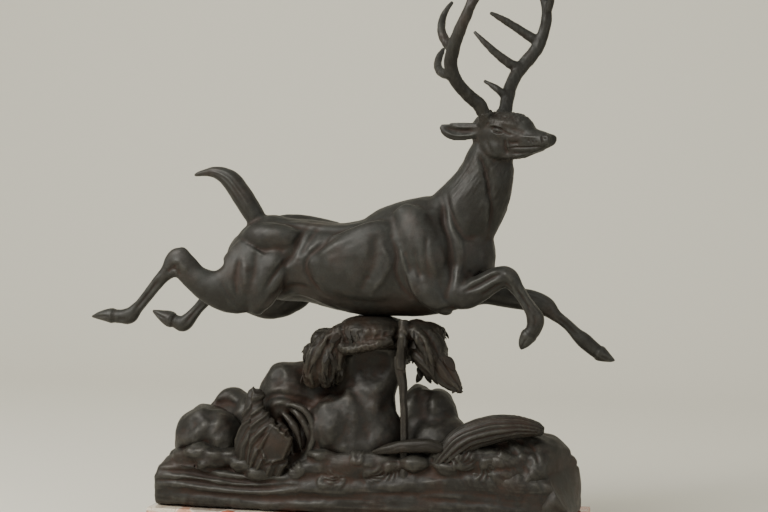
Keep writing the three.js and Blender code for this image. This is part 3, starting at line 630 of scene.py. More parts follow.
# Chased strokes seen from the side, as (x, z) lines with a width and a height. A negative
# height is a groove.
bodyStrokes = [
    ([(-54, 88), (-60, 74), (-66, 60), (-76, 48), (-86, 34), (-92, 22)], 3.6, -2.6),
    ([(-44, 86), (-50, 76), (-56, 64), (-58, 56)], 4.5, -2.2),
    ([(-116, 60), (-118, 46), (-119, 30), (-116, 16)], 3.2, -1.5),
    ([(-109, 54), (-110, 42), (-110, 28)], 3.5, 1), ([(-101, 66), (-101, 48), (-103, 32)], 3, -0.8),
    ([(-12, 84), (-30, 74), (-44, 64), (-52, 54), (-50, 40), (-40, 26), (-28, 18)], 3.4, -2.2),
    ([(-6, 76), (-26, 68), (-38, 58), (-41, 46), (-36, 34), (-26, 26)], 4, 1),
    ([(16, 84), (18, 66), (14, 50), (8, 36)], 6, -2), ([(12, 44), (6, 34), (2, 26)], 4.5, -1.6),
    ([(22, 72), (30, 56), (25, 42), (17, 32), (12, 24)], 3.2, 1.5),
    ([(32, 78), (37, 62), (36, 48), (40, 34), (48, 22)], 2.6, -1.7),
    ([(40, 70), (45, 52), (52, 34), (58, 18)], 2.6, 1.3), ([(54, 72), (57, 52), (62, 36)], 3, -1.1),
    ([(70, 62), (74, 46), (76, 30)], 3.4, 1), ([(66, 84), (66, 64), (68, 46)], 2.4, -0.8),
    ([(72, 120), (76, 108), (79, 94), (85, 78), (88, 60), (88, 42), (84, 24)], 3.8, -4.2),
    ([(93, 80), (96, 68), (96, 54), (92, 40)], 2.8, 1.1), ([(38, 114), (48, 114), (58, 112)], 2, 1),
    ([(62, 14), (72, 9), (82, 12), (94, 14)], 2.6, -1.5),
    ([(-96, 4), (-80, 18), (-64, 23), (-46, 18), (-28, 8)], 2, 1.4),
    ([(-92, 12), (-78, 25), (-62, 30), (-46, 26)], 3, -1.4),
    ([(-136, 40), (-128, 26), (-118, 12), (-104, 4)], 3, -0.9),
]
backLine = [(-112, 92), (-88, 90), (-66, 86), (-40, 83), (-20, 83)]
neckStrokes = [
    ([(103, 172), (110, 156), (117, 138), (121, 120), (123, 104), (121, 88), (116, 72)], 3, -3.2),
    ([(78, 122), (84, 104), (92, 88), (102, 78), (112, 82)], 3.2, -2),
    ([(112, 170), (120, 152), (127, 134), (130, 118)], 4, 1.2),
    ([(104, 100), (100, 86), (96, 78)], 5, 0.8),
]
# In turn: lids, tear groove, hollow of the cheek, jaw muscle, muzzle, edge of the nose pad,
# mouth and chin, folds over the lip, throat, and the inside and edges of the ear
headStrokes = [
    ([(22, 181.4), (28, 182.6), (34, 181.8), (40, 179.4)], 1.5, 1.6),
    ([(27, 175.6), (31, 174.2), (36, 173.8), (39, 174.6)], 1.1, 0.8),
    ([(26.6, 178.4), (29, 180.2), (33, 180.2), (37, 178.2), (39, 176)], 0.8, -1.3),
    ([(26.6, 178.2), (29.6, 176), (33.4, 175.2), (37, 175.2), (39, 176)], 0.7, -1.1),
    ([(39, 177), (43, 174.6), (47, 173.4)], 1.1, -1.1),
    ([(41, 167), (47, 165.6), (54, 166.4)], 2, -1.4),
    ([(40.4, 170), (39.2, 165), (39.2, 160), (40.4, 155)], 1.6, -1.2),
    ([(42, 168.4), (42.6, 164), (41.8, 160)], 1.1, 0.9), ([(44, 180), (52, 177), (60, 174.6)], 2, -0.9),
    ([(56, 172), (64, 171.6), (72, 171.4)], 1.3, 0.7),
    ([(76.4, 173.4), (76, 170.8), (76.4, 168), (77.4, 165.4)], 1, -1.3),
    ([(77.6, 171.4), (79.4, 171), (80.6, 170)], 0.9, -0.9),
    ([(41.6, 161.2), (50, 161.8), (60, 162), (70, 162.6), (78.5, 162.9)], 0.8, -1.3),
    ([(48, 159.2), (58, 159.4), (68, 160.4)], 1.6, 0.25),
    ([(44, 156.6), (54, 156.4), (62, 158)], 1.2, -0.8), ([(62, 169.2), (63.4, 167.4)], 0.7, -0.8),
    ([(66.2, 168.4), (67.4, 166)], 0.7, -0.8), ([(70.4, 168), (71, 165.8)], 0.7, -0.7),
    ([(20, 168), (24, 160), (30, 155)], 2.6, -0.8),
    ([(-23, 181.4), (-14, 177.8), (-4, 176.6), (8, 177.2)], 2.6, -2.2),
    ([(-21, 176), (-12, 172.6), (0, 172.6), (8, 174)], 1.1, 1),
    ([(-24, 183.2), (-12, 184), (2, 183.6), (12, 182.8)], 1.2, 0.4),
    ([(-14, 181), (-4, 180), (8, 180.4)], 0.9, 0.7),
]


# The nearest place on a table for each point, and the distance in half widths.
def limbPlace(points, rows):
    steps = 90
    best, place = np.full(len(points), 1e9), np.zeros(len(points))
    for k, row in enumerate(readTable(rows, np.linspace(0, 1, steps))):
        gap = np.linalg.norm(points - row[:3], axis=1) / max(row[3], row[4], row[5])
        nearer = gap < best
        best, place = np.where(nearer, gap, best), np.where(nearer, k / (steps - 1), place)
    return best, place


# A line along a limb, off its middle by a share of its depth.
def limbLine(rows, span, off):
    t = np.linspace(*span, 6)
    row, ahead = readTable(rows, t), aheadOf(rows, t)
    up = np.stack([-ahead[:, 2], 0 * t, ahead[:, 0]], 1)
    depth = np.where(off > 0, row[:, 4], row[:, 5]) * off
    return (row[:, :3] + up * depth[:, None])[:, [0, 2]]


def buildFigure(bronze):
    volumes = [tube(bodyRows, 64, 70), tube(neckRows, 48, 50), tube(onHead(headRows, 1), 44, 50)]
    volumes += [tube(limb["rows"], 30, 90) for limb in limbs.values()]
    for rows in muscles.values():
        volumes += [tube(rows, 24, 24), tube(otherSide(rows), 24, 24)]
    volumes += [tube(rows, 20, 20) for rows in (farHip, *hockTips)]
    for rows in headMuscles.values():
        volumes += [tube(onHead(rows, sign), 20, 20) for sign in (-1, 1)]
    points, quads, ends = fuse("stag", volumes, stag["voxel"])
    headward = headFrame(points)
    onSkull = ease((headward[:, 2] - head["floor"]) / 10) * ease((headward[:, 0] - head["rear"]) / 4)
    soft = 1 - 0.85 * onSkull
    points = relax(points, ends, 4)
    points = relax(points, ends, 14, 0.6, soft, quads)
    points = relax(points, ends, 5, hold=soft)
    print("stag fused:", len(points), "points")

    out = normalsOf(points, quads)
    sideways = ease((np.abs(out[:, 1]) - 0.1) / 0.5)
    neckGap, neckPlace = limbPlace(points, neckRows)
    underNeck = 1 - ease((points[:, 2] - neck["top"]) / 8)
    points = chase(points, out, bodyStrokes, sideways * (points[:, 2] > -2) * underNeck)
    along = ease((out[:, 2] + 0.2) / 0.5) * (np.abs(points[:, 1]) > 8)
    spine = stroke(points[:, [0, 2]], backLine, stag["backWidth"], stag["backDepth"])
    points = points + out * (spine * along)[:, None]
    out = normalsOf(points, quads)
    points = chase(points, out, neckStrokes, sideways * (1 - onSkull))
    for limb in limbs.values():
        gap, place = limbPlace(points, limb["rows"])
        inLimb = (gap < 1.5) & (place > limb["joint"] - 0.05)
        lines = []
        for span, off, width, height in limb["strokes"]:
            lines.append((limbLine(limb["rows"], span, off), width, height))
        points = chase(points, out, lines, sideways * inLimb)
        if "coronet" in limb:    # a groove above the hoof, and the hoof's upper rim just under it
            above, edge = place - limb["coronet"], stag["hoofEdge"]
            ring = np.exp(-(((above - stag["hoofDrop"]) / edge) ** 2)) - np.exp(-((above / edge) ** 2))
            points = points + out * (stag["hoofGroove"] * ring * inLimb)[:, None]

    # Neck hair: tufts drawn out along the neck's own direction
    rise = ease((neckPlace - neck["hairFrom"]) / 0.12) * (1 - ease((points[:, 2] - neck["hairTo"]) / 8))
    onNeck = (neckGap < 1.4) * rise * (1 - onSkull)
    x, y, z = points.T
    flow = np.stack([x * 0.83 - z * 0.55 + 40, y, z * 0.32], 1) * np.array([1, 0.8, 0.55])
    tuft = layeredNoise(flow, neck["hairSize"], 3, 5)
    out = normalsOf(points, quads)
    points = points + out * (neck["hairHeight"] * tuft * onNeck)[:, None]
    # Slow unevenness of the modeller's hand
    hand = stag["handHeight"] * layeredNoise(points, stag["handSize"], 2, 11)
    points = points + out * (hand * (1 - 0.6 * onSkull))[:, None]

    middles = points[quads].mean(1)
    x, y, z = middles.T
    label = np.zeros(len(quads), int)
    gap, place = limbPlace(middles, neckRows)
    label[(gap < 1.4) & (place > neck["joint"]) & (z > 96) | (z > 140) & (x > 70)] = 1
    for k, limb in enumerate(limbs.values()):
        gap, place = limbPlace(middles, limb["rows"])
        label[(gap < stag["cutWidth"]) & (place > limb["joint"]) & (label == 0)] = k + 2
    # Small islands of a label join the piece round them.
    for _ in range(stag["labelRounds"]):
        label = smoothLabels(label, quads, len(points), len(limbs) + 2)
    normals, marks = normalsOf(points, quads), hollowAndRidgeMarks(points, quads)
    addCutPiece("stagTorso", points, quads, label == 0, normals, marks, bronze, ["stag_torso"])
    buildHead(points, quads, label == 1, normals, marks, bronze)
    for k, (name, limb) in enumerate(limbs.items()):
        addCutPiece(name, points, quads, label == k + 2, normals, marks, bronze, limb["stands"])


# Each square takes the label that most of the squares round its corners have.
def smoothLabels(label, quads, count, kinds):
    votes = [np.bincount(quads.ravel(), np.repeat(label == k, 4), count) for k in range(kinds)]
    return np.stack(votes, 1)[quads].sum(1).argmax(1)


# The neck and head are cut into finer squares for the eyes, nostrils, mouth and ears.
def buildHead(points, quads, picked, outAll, marks, bronze):
    used, inverse = np.unique(quads[picked], return_inverse=True)
    values = np.column_stack([points[used], outAll[used], marks["fine"][used], marks["broad"][used]])
    values, squares = splitSquares(values, inverse.reshape(-1, 4))
    some, known = values[:, :3], values[:, 3:6]
    ends = edgesOf(squares, len(some))
    free = np.ones(len(some))    # 0 at the cut, so that the torso and the neck still meet
    free[np.unique(rimOf(squares, len(some)))] = 0
    for _ in range(3):
        free = np.minimum(free, gather(free[:, None], ends, len(some))[:, 0] + 0.2)
    free = ease(free)
    some = relax(some, ends, 2, hold=free)
    out = normalsOf(some, squares)
    local = headFrame(some)
    localOut = headFrame(out + np.array([head["poll"], 0, 0]))
    sideways = ease((np.abs(localOut[:, 1]) - 0.05) / 0.4) * ease((local[:, 2] - head["floor"]) / 6)
    moved = chase(local, localOut, headStrokes, sideways * free) - local
    some = some + out * (moved * localOut).sum(1)[:, None]
    out = normalsOf(some, squares)
    hair = layeredNoise(some * np.array([0.9, 1.2, 0.5]), 2.2, 2, 31)
    ahead, _, high = local.T
    crown = ease((high - 181) / 6) * ease((60 - ahead) / 8) * ease((ahead + 2) / 8)
    some = some + out * ((0.1 + 0.5 * crown) * hair * free)[:, None]
    out = normalsOf(some, squares)
    out = unit(out * free[:, None] + known * (1 - free)[:, None])
    fresh = hollowAndRidgeMarks(some, squares, (5, 60, 0.2, 1.2))
    marks = {}
    for k, mark in enumerate(("fine", "broad")):
        marks[mark] = free * fresh[mark] + (1 - free) * values[:, 6 + k]
    every = np.ones(len(squares), bool)
    stands = ["neck_and_head", "right_ear", "left_ear"]
    addCutPiece("neckAndHead", some, squares, every, out, marks, bronze, stands)


# Long shallow furrows run up the antlers, with slow pearling all over them.
def buildAntlers(bronze):
    for name, antler in antlers.items():
        volumes = [tube(onHead(antler["beam"], antler["side"]), 24, 90, 0.05)]
        for tine in antler["tines"]:
            volumes.append(tube(onHead(tine, antler["side"]), 20, 40, grow=antlerSkin["rootSwell"]))
        points, quads, ends = fuse(name, volumes, antlerSkin["voxel"])
        points = relax(points, ends, 3)
        points = relax(points, ends, 30, 0.7, skin=quads)
        furrow = layeredNoise(points * np.array([1, 1, 0.22]), antlerSkin["furrowSize"], 2, 17)
        pearl = layeredNoise(points, antlerSkin["pearlSize"], 2, 3)
        rough = antlerSkin["furrow"] * furrow + antlerSkin["pearl"] * pearl
        points = points + normalsOf(points, quads) * rough[:, None]
        addPiece(name, points, quads, noFans, bellyLevel, bronze, antler["stands"],
                 normalsOf(points, quads), hollowAndRidgeMarks(points, quads, (4, 20, 0.2, 0.8)))


# Base: x along the plinth, y across it, z up from the underside of the bronze. The ground's
# rows are x, height of the front edge, height of the crest and half width.
groundRows = [
    [-204, 16, 16, 36], [-203, 30, 34, 43], [-198, 38, 44, 46], [-184, 40, 50, 47], [-160, 37, 54, 48],
    [-136, 33, 54, 48], [-110, 30, 52, 48], [-84, 31, 52, 48], [-56, 33, 54, 48], [-24, 33, 54, 48],
    [10, 34, 56, 48], [42, 38, 58, 48], [72, 42, 62, 48], [100, 44, 62, 48], [130, 45, 62, 48],
    [160, 44, 60, 47], [184, 38, 56, 46], [195, 32, 50, 45], [199, 22, 40, 43], [200, 10, 22, 40],
]
# Ridges and hollows run along the front of the ground.
groundStrokes = [
    ([(-196, 41), (-168, 40), (-145, 35.5), (-118, 32), (-91, 32), (-58, 35)], 3, 2.6),
    ([(-198, 35), (-168, 34.5), (-140, 31), (-110, 28), (-66, 30)], 2.2, -2.2),
    ([(-198, 31), (-168, 30), (-138, 27), (-105, 26), (-65, 29)], 2.8, 2.2),
    ([(-198, 25.5), (-165, 26), (-135, 23), (-98, 22), (-60, 25)], 2.2, -2.2),
    ([(-198, 21), (-168, 21), (-138, 19), (-98, 19), (-55, 23), (-10, 22)], 3.2, 2),
    ([(-196, 14), (-150, 15), (-100, 13), (-40, 15), (20, 17)], 3, -1.6),
    ([(-60, 30), (-20, 26), (30, 29), (80, 34), (130, 32)], 3.4, 0.8),
    ([(-30, 20), (30, 22), (90, 26), (150, 24)], 3.4, -0.7), ([(20, 12), (90, 15), (170, 13)], 4, 0.5),
    ([(30, 36), (70, 40), (110, 44), (150, 43)], 3, -0.8), ([(-120, 8), (-40, 9), (40, 8)], 2.6, 0.8),
]
# Stones half sunk in the ground: place, size and number of flats
rubble = [
    (-158, -35, 54, 15, 3), (-141, -37, 49, 14, 5), (-127, -36, 50, 13, 4), (-148, -42, 44, 10, 3),
    (-112, -40, 44, 12, 5), (-172, -32, 46, 14, 4), (-97, -42, 38, 11, 4), (54, -38, 52, 13, 5),
    (88, -34, 48, 16, 2), (-186, 4, 40, 15, 3), (-176, 22, 44, 20, 4), (100, 22, 54, 24, 3),
    (24, 22, 56, 26, 3), (-60, 22, 56, 28, 3), (-110, 22, 54, 24, 4), (66, 22, 52, 26, 4),
    (172, 18, 48, 22, 3), (140, 24, 52, 24, 3),
]
# Rocks: balls are a place and its radii, and hollows a place, a size and a depth.
rocks = {
    "leftBoulder": {
        "stands": ["left_boulder"], "flats": 12, "seed": 4, "fine": 0.1,
        "balls": [([-160, -10, 62], [32, 31, 37]), ([-146, -19, 60], [27, 22, 32])],
        "strokes": [
            ([(-168, 60), (-155, 71), (-142, 83), (-131, 91)], 6.5, 1.3),
            ([(-158, 56), (-146, 67), (-134, 78), (-127, 85)], 7, -1.4),
            ([(-184, 72), (-172, 76), (-160, 82)], 6, -1),
            ([(-150, 54), (-138, 58), (-130, 66)], 3.6, -1.4),
        ],
    },
    "rearBoulder": {
        "stands": ["rear_boulder"], "flats": 5, "seed": 9, "fine": 0.1,
        "balls": [([-139, 12, 66], [32, 26, 43]), ([-122, 4, 80], [18, 20, 24])],
        "strokes": [([(-158, 92), (-144, 96), (-130, 94)], 3.5, -2.4)],
    },
    "centralBoulder": {
        "stands": ["central_boulder"], "flats": 3, "seed": 21, "fine": 0.1,
        "balls": [
            ([-80, 2, 92], [31, 33, 46]), ([-66, 8, 100], [28, 28, 38]), ([-27, -12, 80], [29, 28, 31]),
            ([-20, 12, 78], [40, 30, 48]), ([-11, -15, 78], [22, 22, 40]),
            ([17, -12, 70], [18, 22, 34]), ([-2, -20, 60], [30, 20, 22]), ([-60, -2, 50], [46, 40, 32]),
            ([8, 8, 60], [24, 30, 40]), ([2, -14, 54], [28, 24, 26]),
        ],
        "tubes": [
            [
                [2, -6, 30, 30, 28], [3, -6, 58, 28, 27], [4, -5, 86, 25, 23], [5, -3, 112, 21, 22],
                [8, -1, 134, 19, 25], [9, 0, 156, 20, 29],
            ],
            [[-16, 4, 60, 20, 18], [-16, 3, 96, 20, 18], [-14, 3, 124, 18], [-12, 2, 148, 18, 20]],
        ],
        "strokes": [
            ([(-102, 100), (-92, 107), (-82, 110), (-68, 107), (-54, 101), (-42, 99)], 3.2, -3.4),
            ([(-98, 94), (-84, 101), (-66, 103), (-52, 97)], 3, 1.8),
            ([(-46, 98), (-34, 103), (-20, 108)], 3.2, 1.6),
            ([(-44, 104), (-30, 110), (-16, 116)], 3.6, -3),
            ([(-12, 100), (-10, 86), (-12, 72)], 4.2, -1.2),
            ([(-44, 66), (-30, 56), (-12, 54)], 3, -1.8),
            ([(10, 112), (14, 92), (12, 74), (20, 62)], 4.5, 1.4),
            ([(-98, 126), (-88, 120), (-76, 124), (-66, 132)], 5, -1.6),
        ],
        "hollows": [
            ([-67, -34, 72], [17, 26, 23], 15), ([-86, -28, 127], [8, 20, 8], 4.5),
            ([8, -24, 140], [20, 24, 20], 9), ([24, -30, 100], [9, 20, 30], 4),
        ],
        "archRim": [
            [-78, -27, 97, 1.6], [-67, -31, 101, 3, 2.4], [-55, -33, 97, 3.4, 2.8],
            [-47, -34, 86, 3.4, 2.8], [-45, -35, 71, 3.2, 2.6], [-50, -36, 56, 2.4, 2.2],
            [-57, -36, 46, 1.4],
        ],
        "archBlades": [
            [
                [-86, -22, 93, 2], [-76, -28, 91, 4, 2.6], [-66, -31, 82, 4.4, 2.8],
                [-60, -32, 68, 3.6, 2.4], [-58, -32, 56, 1],
            ],
            [
                [-90, -22, 84, 2], [-80, -28, 82, 3.6, 2.4], [-72, -30, 72, 4, 2.6],
                [-68, -31, 60, 3, 2], [-67, -31, 52, 1],
            ],
            [
                [-78, -20, 98, 2], [-66, -27, 95, 4, 2.6], [-55, -30, 84, 4.2, 2.8],
                [-50, -31, 70, 3.4, 2.2], [-50, -31, 58, 1],
            ],
        ],
    },
    "rightRock": {
        "stands": ["right_rock"], "flats": 3, "seed": 33, "fine": 0.1,
        "balls": [
            ([58, 8, 76], [29, 29, 44]), ([68, -2, 58], [32, 32, 38]), ([46, 10, 92], [16, 24, 27]),
            ([66, 8, 92], [15, 24, 24]),
        ],
        "strokes": [([(60, 112), (66, 98), (74, 82)], 7, 0.9)],
    },
    "endRock": {
        "stands": ["end_rock"], "flats": 4, "seed": 42, "fine": 0.16,
        "balls": [
            ([142, -6, 46], [46, 42, 37]), ([161, -2, 42], [39, 44, 36]), ([112, -8, 46], [34, 37, 30]),
            ([184, -2, 22], [30, 46, 32]),
        ],
        "strokes": [
            ([(104, 62), (124, 70), (146, 74), (164, 72)], 3.5, -2),
            ([(100, 54), (124, 58), (150, 60), (172, 62)], 3.5, 1.6),
            ([(106, 48), (130, 50), (156, 52)], 3, -1.8), ([(140, 78), (152, 66), (158, 56)], 3, 1.6),
            ([(160, 76), (168, 64), (172, 54)], 3, -2),
            ([(166, 80), (178, 68), (184, 54), (188, 40)], 3, 1.6),
        ],
        "grassTo": 166,
    },
}
# Low banks that the ferns lie on
banks = [
    [
        [-66, -34, 36, 10, 8], [-44, -36, 43, 11], [-16, -37, 46, 11, 13], [12, -37, 48, 11, 13],
        [32, -35, 50, 10], [44, -32, 48, 6, 5],
    ],
    [
        [70, -32, 56, 8], [84, -35, 60, 11, 13], [104, -36, 58, 11, 13], [128, -35, 56, 10, 12],
        [148, -32, 54, 8],
    ],
]
# Ferns on the ground: root x and z, the way they spread, and size
ferns = [
    (-50, 42, 200, 20), (-34, 38, 285, 17), (-12, 39, 235, 19), (8, 44, 300, 19), (27, 50, 335, 19),
    (-6, 52, 20, 16), (80, 62, 35, 24), (92, 54, 5, 24), (116, 56, 345, 22), (134, 60, 20, 20),
]
fern = {"leaves": 6, "spread": 0.8, "curl": 0.6, "width": 1.25, "height": 1.7, "flatten": 0.85}
ground = {"voxel": 1.5, "swell": 2.2, "layer": 0.9, "grain": 0.26, "grass": 0.5, "grassSize": 4.2}


# The ground's outline across the plinth is |cos|^(1/4) by |sin|^(1/4), a box with round corners,
# and its top falls from the crest to the front as 1 - (y / half width)^2.
def groundRings():
    rings = readTable(groundRows, np.linspace(0, 1, 240))
    turn = np.linspace(0, 2 * np.pi, 140, endpoint=False)
    power = 0.25
    across = np.sign(np.cos(turn)) * np.abs(np.cos(turn)) ** power
    share = (np.sign(np.sin(turn)) * np.abs(np.sin(turn)) ** power + 1) / 2
    x, front, crest, wide = (rings[:, k, None] for k in range(4))
    y = wide * across * (1 - 0.03 * share)
    high = front + (crest - front) * (1 - (y / wide) ** 2)
    wave = 1.6 * np.sin(x / 23 + y / 17) + np.sin(x / 11 - y / 13 + 1)
    high = high + wave * (1 - (y / 52) ** 4)
    return closeRings(np.stack([x + 0 * y, y, high * share], -1))


# Each leaf is a thin lens carried along a drooping rib, and every leaf is the same small shape
# turned, stretched and bent by its own numbers.
def leafSheet(roots, ways, ups, lengths, widths, droops, thick=0.09):
    rings, sides = 9, 8
    u = np.linspace(0.02, 1, rings)[:, None]
    turn = np.linspace(0, 2 * np.pi, sides, endpoint=False)[None]
    half = np.sin(np.pi * u**0.8) ** 0.6 * (1 - 0.3 * u) + 0.03
    z = thick * half * np.cos(turn) + 0.14 * np.abs(np.sin(turn)) * half
    local, quads, fans = closeRings(np.stack([u + 0 * turn, half * np.sin(turn), z], -1))
    across = unit(np.cross(ups, ways))
    ups = np.cross(ways, across)
    u, v, w = (local[None, :, k : k + 1] for k in range(3))
    length, width, droop = (each[:, None, None] for each in (lengths, widths, droops))
    rise = w * width - droop * u**2 * length
    points = roots[:, None] + u * length * ways[:, None] + v * width * across[:, None]
    points = points + rise * ups[:, None]
    shift = (np.arange(len(roots)) * len(local))[:, None, None]
    return points.reshape(-1, 3), (quads[None] + shift).reshape(-1, 4), (fans[None] + shift).reshape(-1, 3)


# Leaves set on a skin: rooted at random points of it, pointing down its fall and a little out.
def leavesOn(points, quads, wanted, count, length, width, lift, seed, stray=0.5):
    chance = np.random.default_rng(seed)
    out = normalsOf(points, quads)
    spots = chance.choice(np.flatnonzero(wanted), count)
    up = out[spots]
    fall = np.array([0, 0, -1.0]) + stray * chance.normal(size=(count, 3)) * np.array([1, 1, 0.4])
    way = unit(fall - up * (fall * up).sum(1)[:, None])
    way = unit(way + up * (lift * chance.uniform(0.2, 1.4, count))[:, None])
    size = chance.uniform(0.65, 1.3, count)
    wide = width * size * chance.uniform(0.8, 1.2, count)
    droop = chance.uniform(0.02, 0.2, count)
    return leafSheet(points[spots] - up * 0.8, way, up, length * size, wide, droop)


# Leaf ridges that curl out from each root like a feather: angle = aim + spread + curl * reach.
def fernStrokes():
    strokes = []
    u = np.linspace(0.12, 1, 5)
    for k, (x, z, aim, size) in enumerate(ferns):
        curl = fern["curl"] if k % 2 else -fern["curl"]
        for spread in np.linspace(-fern["spread"], fern["spread"], fern["leaves"]):
            turn = math.radians(aim) + spread + curl * u**2
            reach = size * u * (1 - 0.2 * abs(spread))
            line = np.stack([x + reach * np.cos(turn), z + reach * np.sin(turn) * fern["flatten"]], 1)
            strokes.append((line.tolist(), fern["width"], fern["height"]))
    return strokes


# Rock skin: slow swells and a fine pitted grain.
def weather(points, quads, fine, seed, slow=1.4):
    shift = slow * layeredNoise(points, 30, 2, seed) + 0.55 * layeredNoise(points, 9, 2, seed + 3)
    shift = shift + fine * layeredNoise(points, 2.4, 2, seed + 5)
    return points + normalsOf(points, quads) * shift[:, None]


# A hollow pressed back into a front: depth * exp(-1.6 * (distance in sizes)^4).
def hollowOut(points, at, size, depth):
    away = (points - np.array(at, float)) / np.array(size, float)
    share = np.exp(-((away**2).sum(1) ** 2) * 1.6)
    return points + share[:, None] * np.array([0, depth, 0.0])


# The right end is one smooth facet that leans back and turns from the front corner.
facet = {"end": 199.5, "lean": 0.62, "foot": 12, "rise": 34, "rear": 26, "across": 66, "from": 172}


def endFacet(points, ends, rounds):
    x, y, z = points.T
    turn = np.clip((facet["rear"] - y) / facet["across"], 0, 1)
    limit = facet["end"] - facet["lean"] * np.clip(z - facet["foot"], 0, facet["rise"]) * turn
    points[:, 0] = np.where(x > limit, limit + 0.04 * (x - limit), x)
    return relax(points, ends, rounds, hold=ease((points[:, 0] - facet["from"]) / 10))


def finishRock(name, points, quads, shade, stands, leaves=None, look=(4, 26, 0.3, 1.6)):
    marks = hollowAndRidgeMarks(points, quads, look)
    normals = normalsOf(points, quads)
    fans = noFans
    if leaves is not None:
        points, quads, fans = joinVolumes([(points, quads, noFans), leaves])
        marks = {mark: padded(values, len(points)) for mark, values in marks.items()}
        normals = None
    addPiece(name, points, quads, fans, bronzeBottom, shade, stands, normals, marks)


def frontOf(points, quads, start=0.05):
    return ease((-normalsOf(points, quads)[:, 1] - start) / 0.45)


# Grass: short strokes that lean, made of noise drawn out along their own direction.
def grassNoise(points, lean, squeeze, size, seed):
    flow = np.stack([points[:, 0] + lean * points[:, 2], points[:, 1], points[:, 2] * squeeze], 1)
    return layeredNoise(flow, size, 2, seed)


def buildGround(shade):
    volumes = [groundRings()]
    for k, (x, y, z, size, flats) in enumerate(rubble):
        volumes.append(stone([x, y, z], [size * 1.2, size, size * 0.72], 70 + k, flats + 2, 0.08, 32, 20))
    volumes += [tube(bank, 40, steps) for bank, steps in zip(banks, (60, 40))]
    # Cap rock: a low rounded roof over a darker foot
    volumes.append(stone([-36, -38, 55], [16, 11, 6.5], 3, 2, 0.04, 32, 20))
    volumes.append(stone([-36, -34, 46], [11, 10, 9], 5, 4, 0.08, 28, 18))
    points, quads, ends = fuse("rockBase", volumes, ground["voxel"])
    points = relax(points, ends, 5)
    points = relax(points, ends, 12, 0.6, skin=quads)
    out = normalsOf(points, quads)
    inFront = ease((-points[:, 1] - 30) / 8)
    points = chase(points, out, groundStrokes, frontOf(points, quads) * inFront)
    out = normalsOf(points, quads)
    x, y, z = points.T
    upright = ease((np.abs(out[:, 1]) + np.abs(out[:, 0]) * 0.9 - 0.4) / 0.4) * ease((z - 2) / 6)
    bend = ground["swell"] * softNoise(np.stack([x / 30, y / 30, z * 0], 1), 2)
    layer = ground["layer"] * softNoise(np.stack([x / 44, y / 40, (z + bend) / 4.6], 1), 22)
    fine = ground["grain"] * softNoise(np.stack([x / 13, y / 13, (z + bend) / 1.3], 1), 12)
    points = points + out * ((layer + fine) * upright)[:, None]
    points = weather(points, quads, 0.08, 2, 0.6)
    onBank = frontOf(points, quads, -0.1) * (points[:, 1] < -28)
    points = chase(points, normalsOf(points, quads), fernStrokes(), onBank)
    grassy = ease((points[:, 0] - 60) / 40) * ease((points[:, 2] - 24) / 12)
    grass = grassNoise(points, 0.6, 0.45, ground["grassSize"], 41)
    points = points + normalsOf(points, quads) * (ground["grass"] * grassy * grass)[:, None]
    points = endFacet(points, ends, 3)
    points[:, 2] = np.maximum(points[:, 2], 0.02)
    finishRock("rockBase", points, quads, shade, ["rock_base"])


def buildRocks(shade):
    for name, rock in rocks.items():
        volumes = []
        for k, (at, radii) in enumerate(rock["balls"]):
            volumes.append(stone(at, radii, rock["seed"] + k, rock["flats"], 0.07, 56, 38))
        volumes += [tube(rows, 40, 50) for rows in rock.get("tubes", [])]
        points, quads, ends = fuse(name, volumes, 1.4)
        points = relax(points, ends, 8)
        points = relax(points, ends, 30, 0.6, skin=quads)
        for hollow in rock.get("hollows", []):
            points = hollowOut(points, *hollow)
        points = chase(points, normalsOf(points, quads), rock["strokes"], frontOf(points, quads))
        if "archRim" in rock:    # blades of grass hang in the arch under its rolled rim
            arch = [tube(rock["archRim"], 20, 50)] + [tube(blade, 18, 30) for blade in rock["archBlades"]]
            points, quads, ends = fuse(name, [(points, quads, noFans), *arch], 1.3)
            points = relax(points, ends, 3)
            points = relax(points, ends, 6, 0.6, skin=quads)
        points = weather(points, quads, rock["fine"], rock["seed"])
        if "grassTo" in rock:
            grassy = 1 - ease((points[:, 0] - rock["grassTo"]) / 8)
            grass = grassNoise(points, 0.8, 0.5, 5, 15)
            points = points + normalsOf(points, quads) * (0.7 * grassy * grass)[:, None]
            points = endFacet(points, ends, 6)
            points = points + normalsOf(points, quads) * (0.3 * layeredNoise(points, 12, 2, 16))[:, None]
        points[:, 2] = np.maximum(points[:, 2], 8)
        finishRock(name, points, quads, shade, rock["stands"])


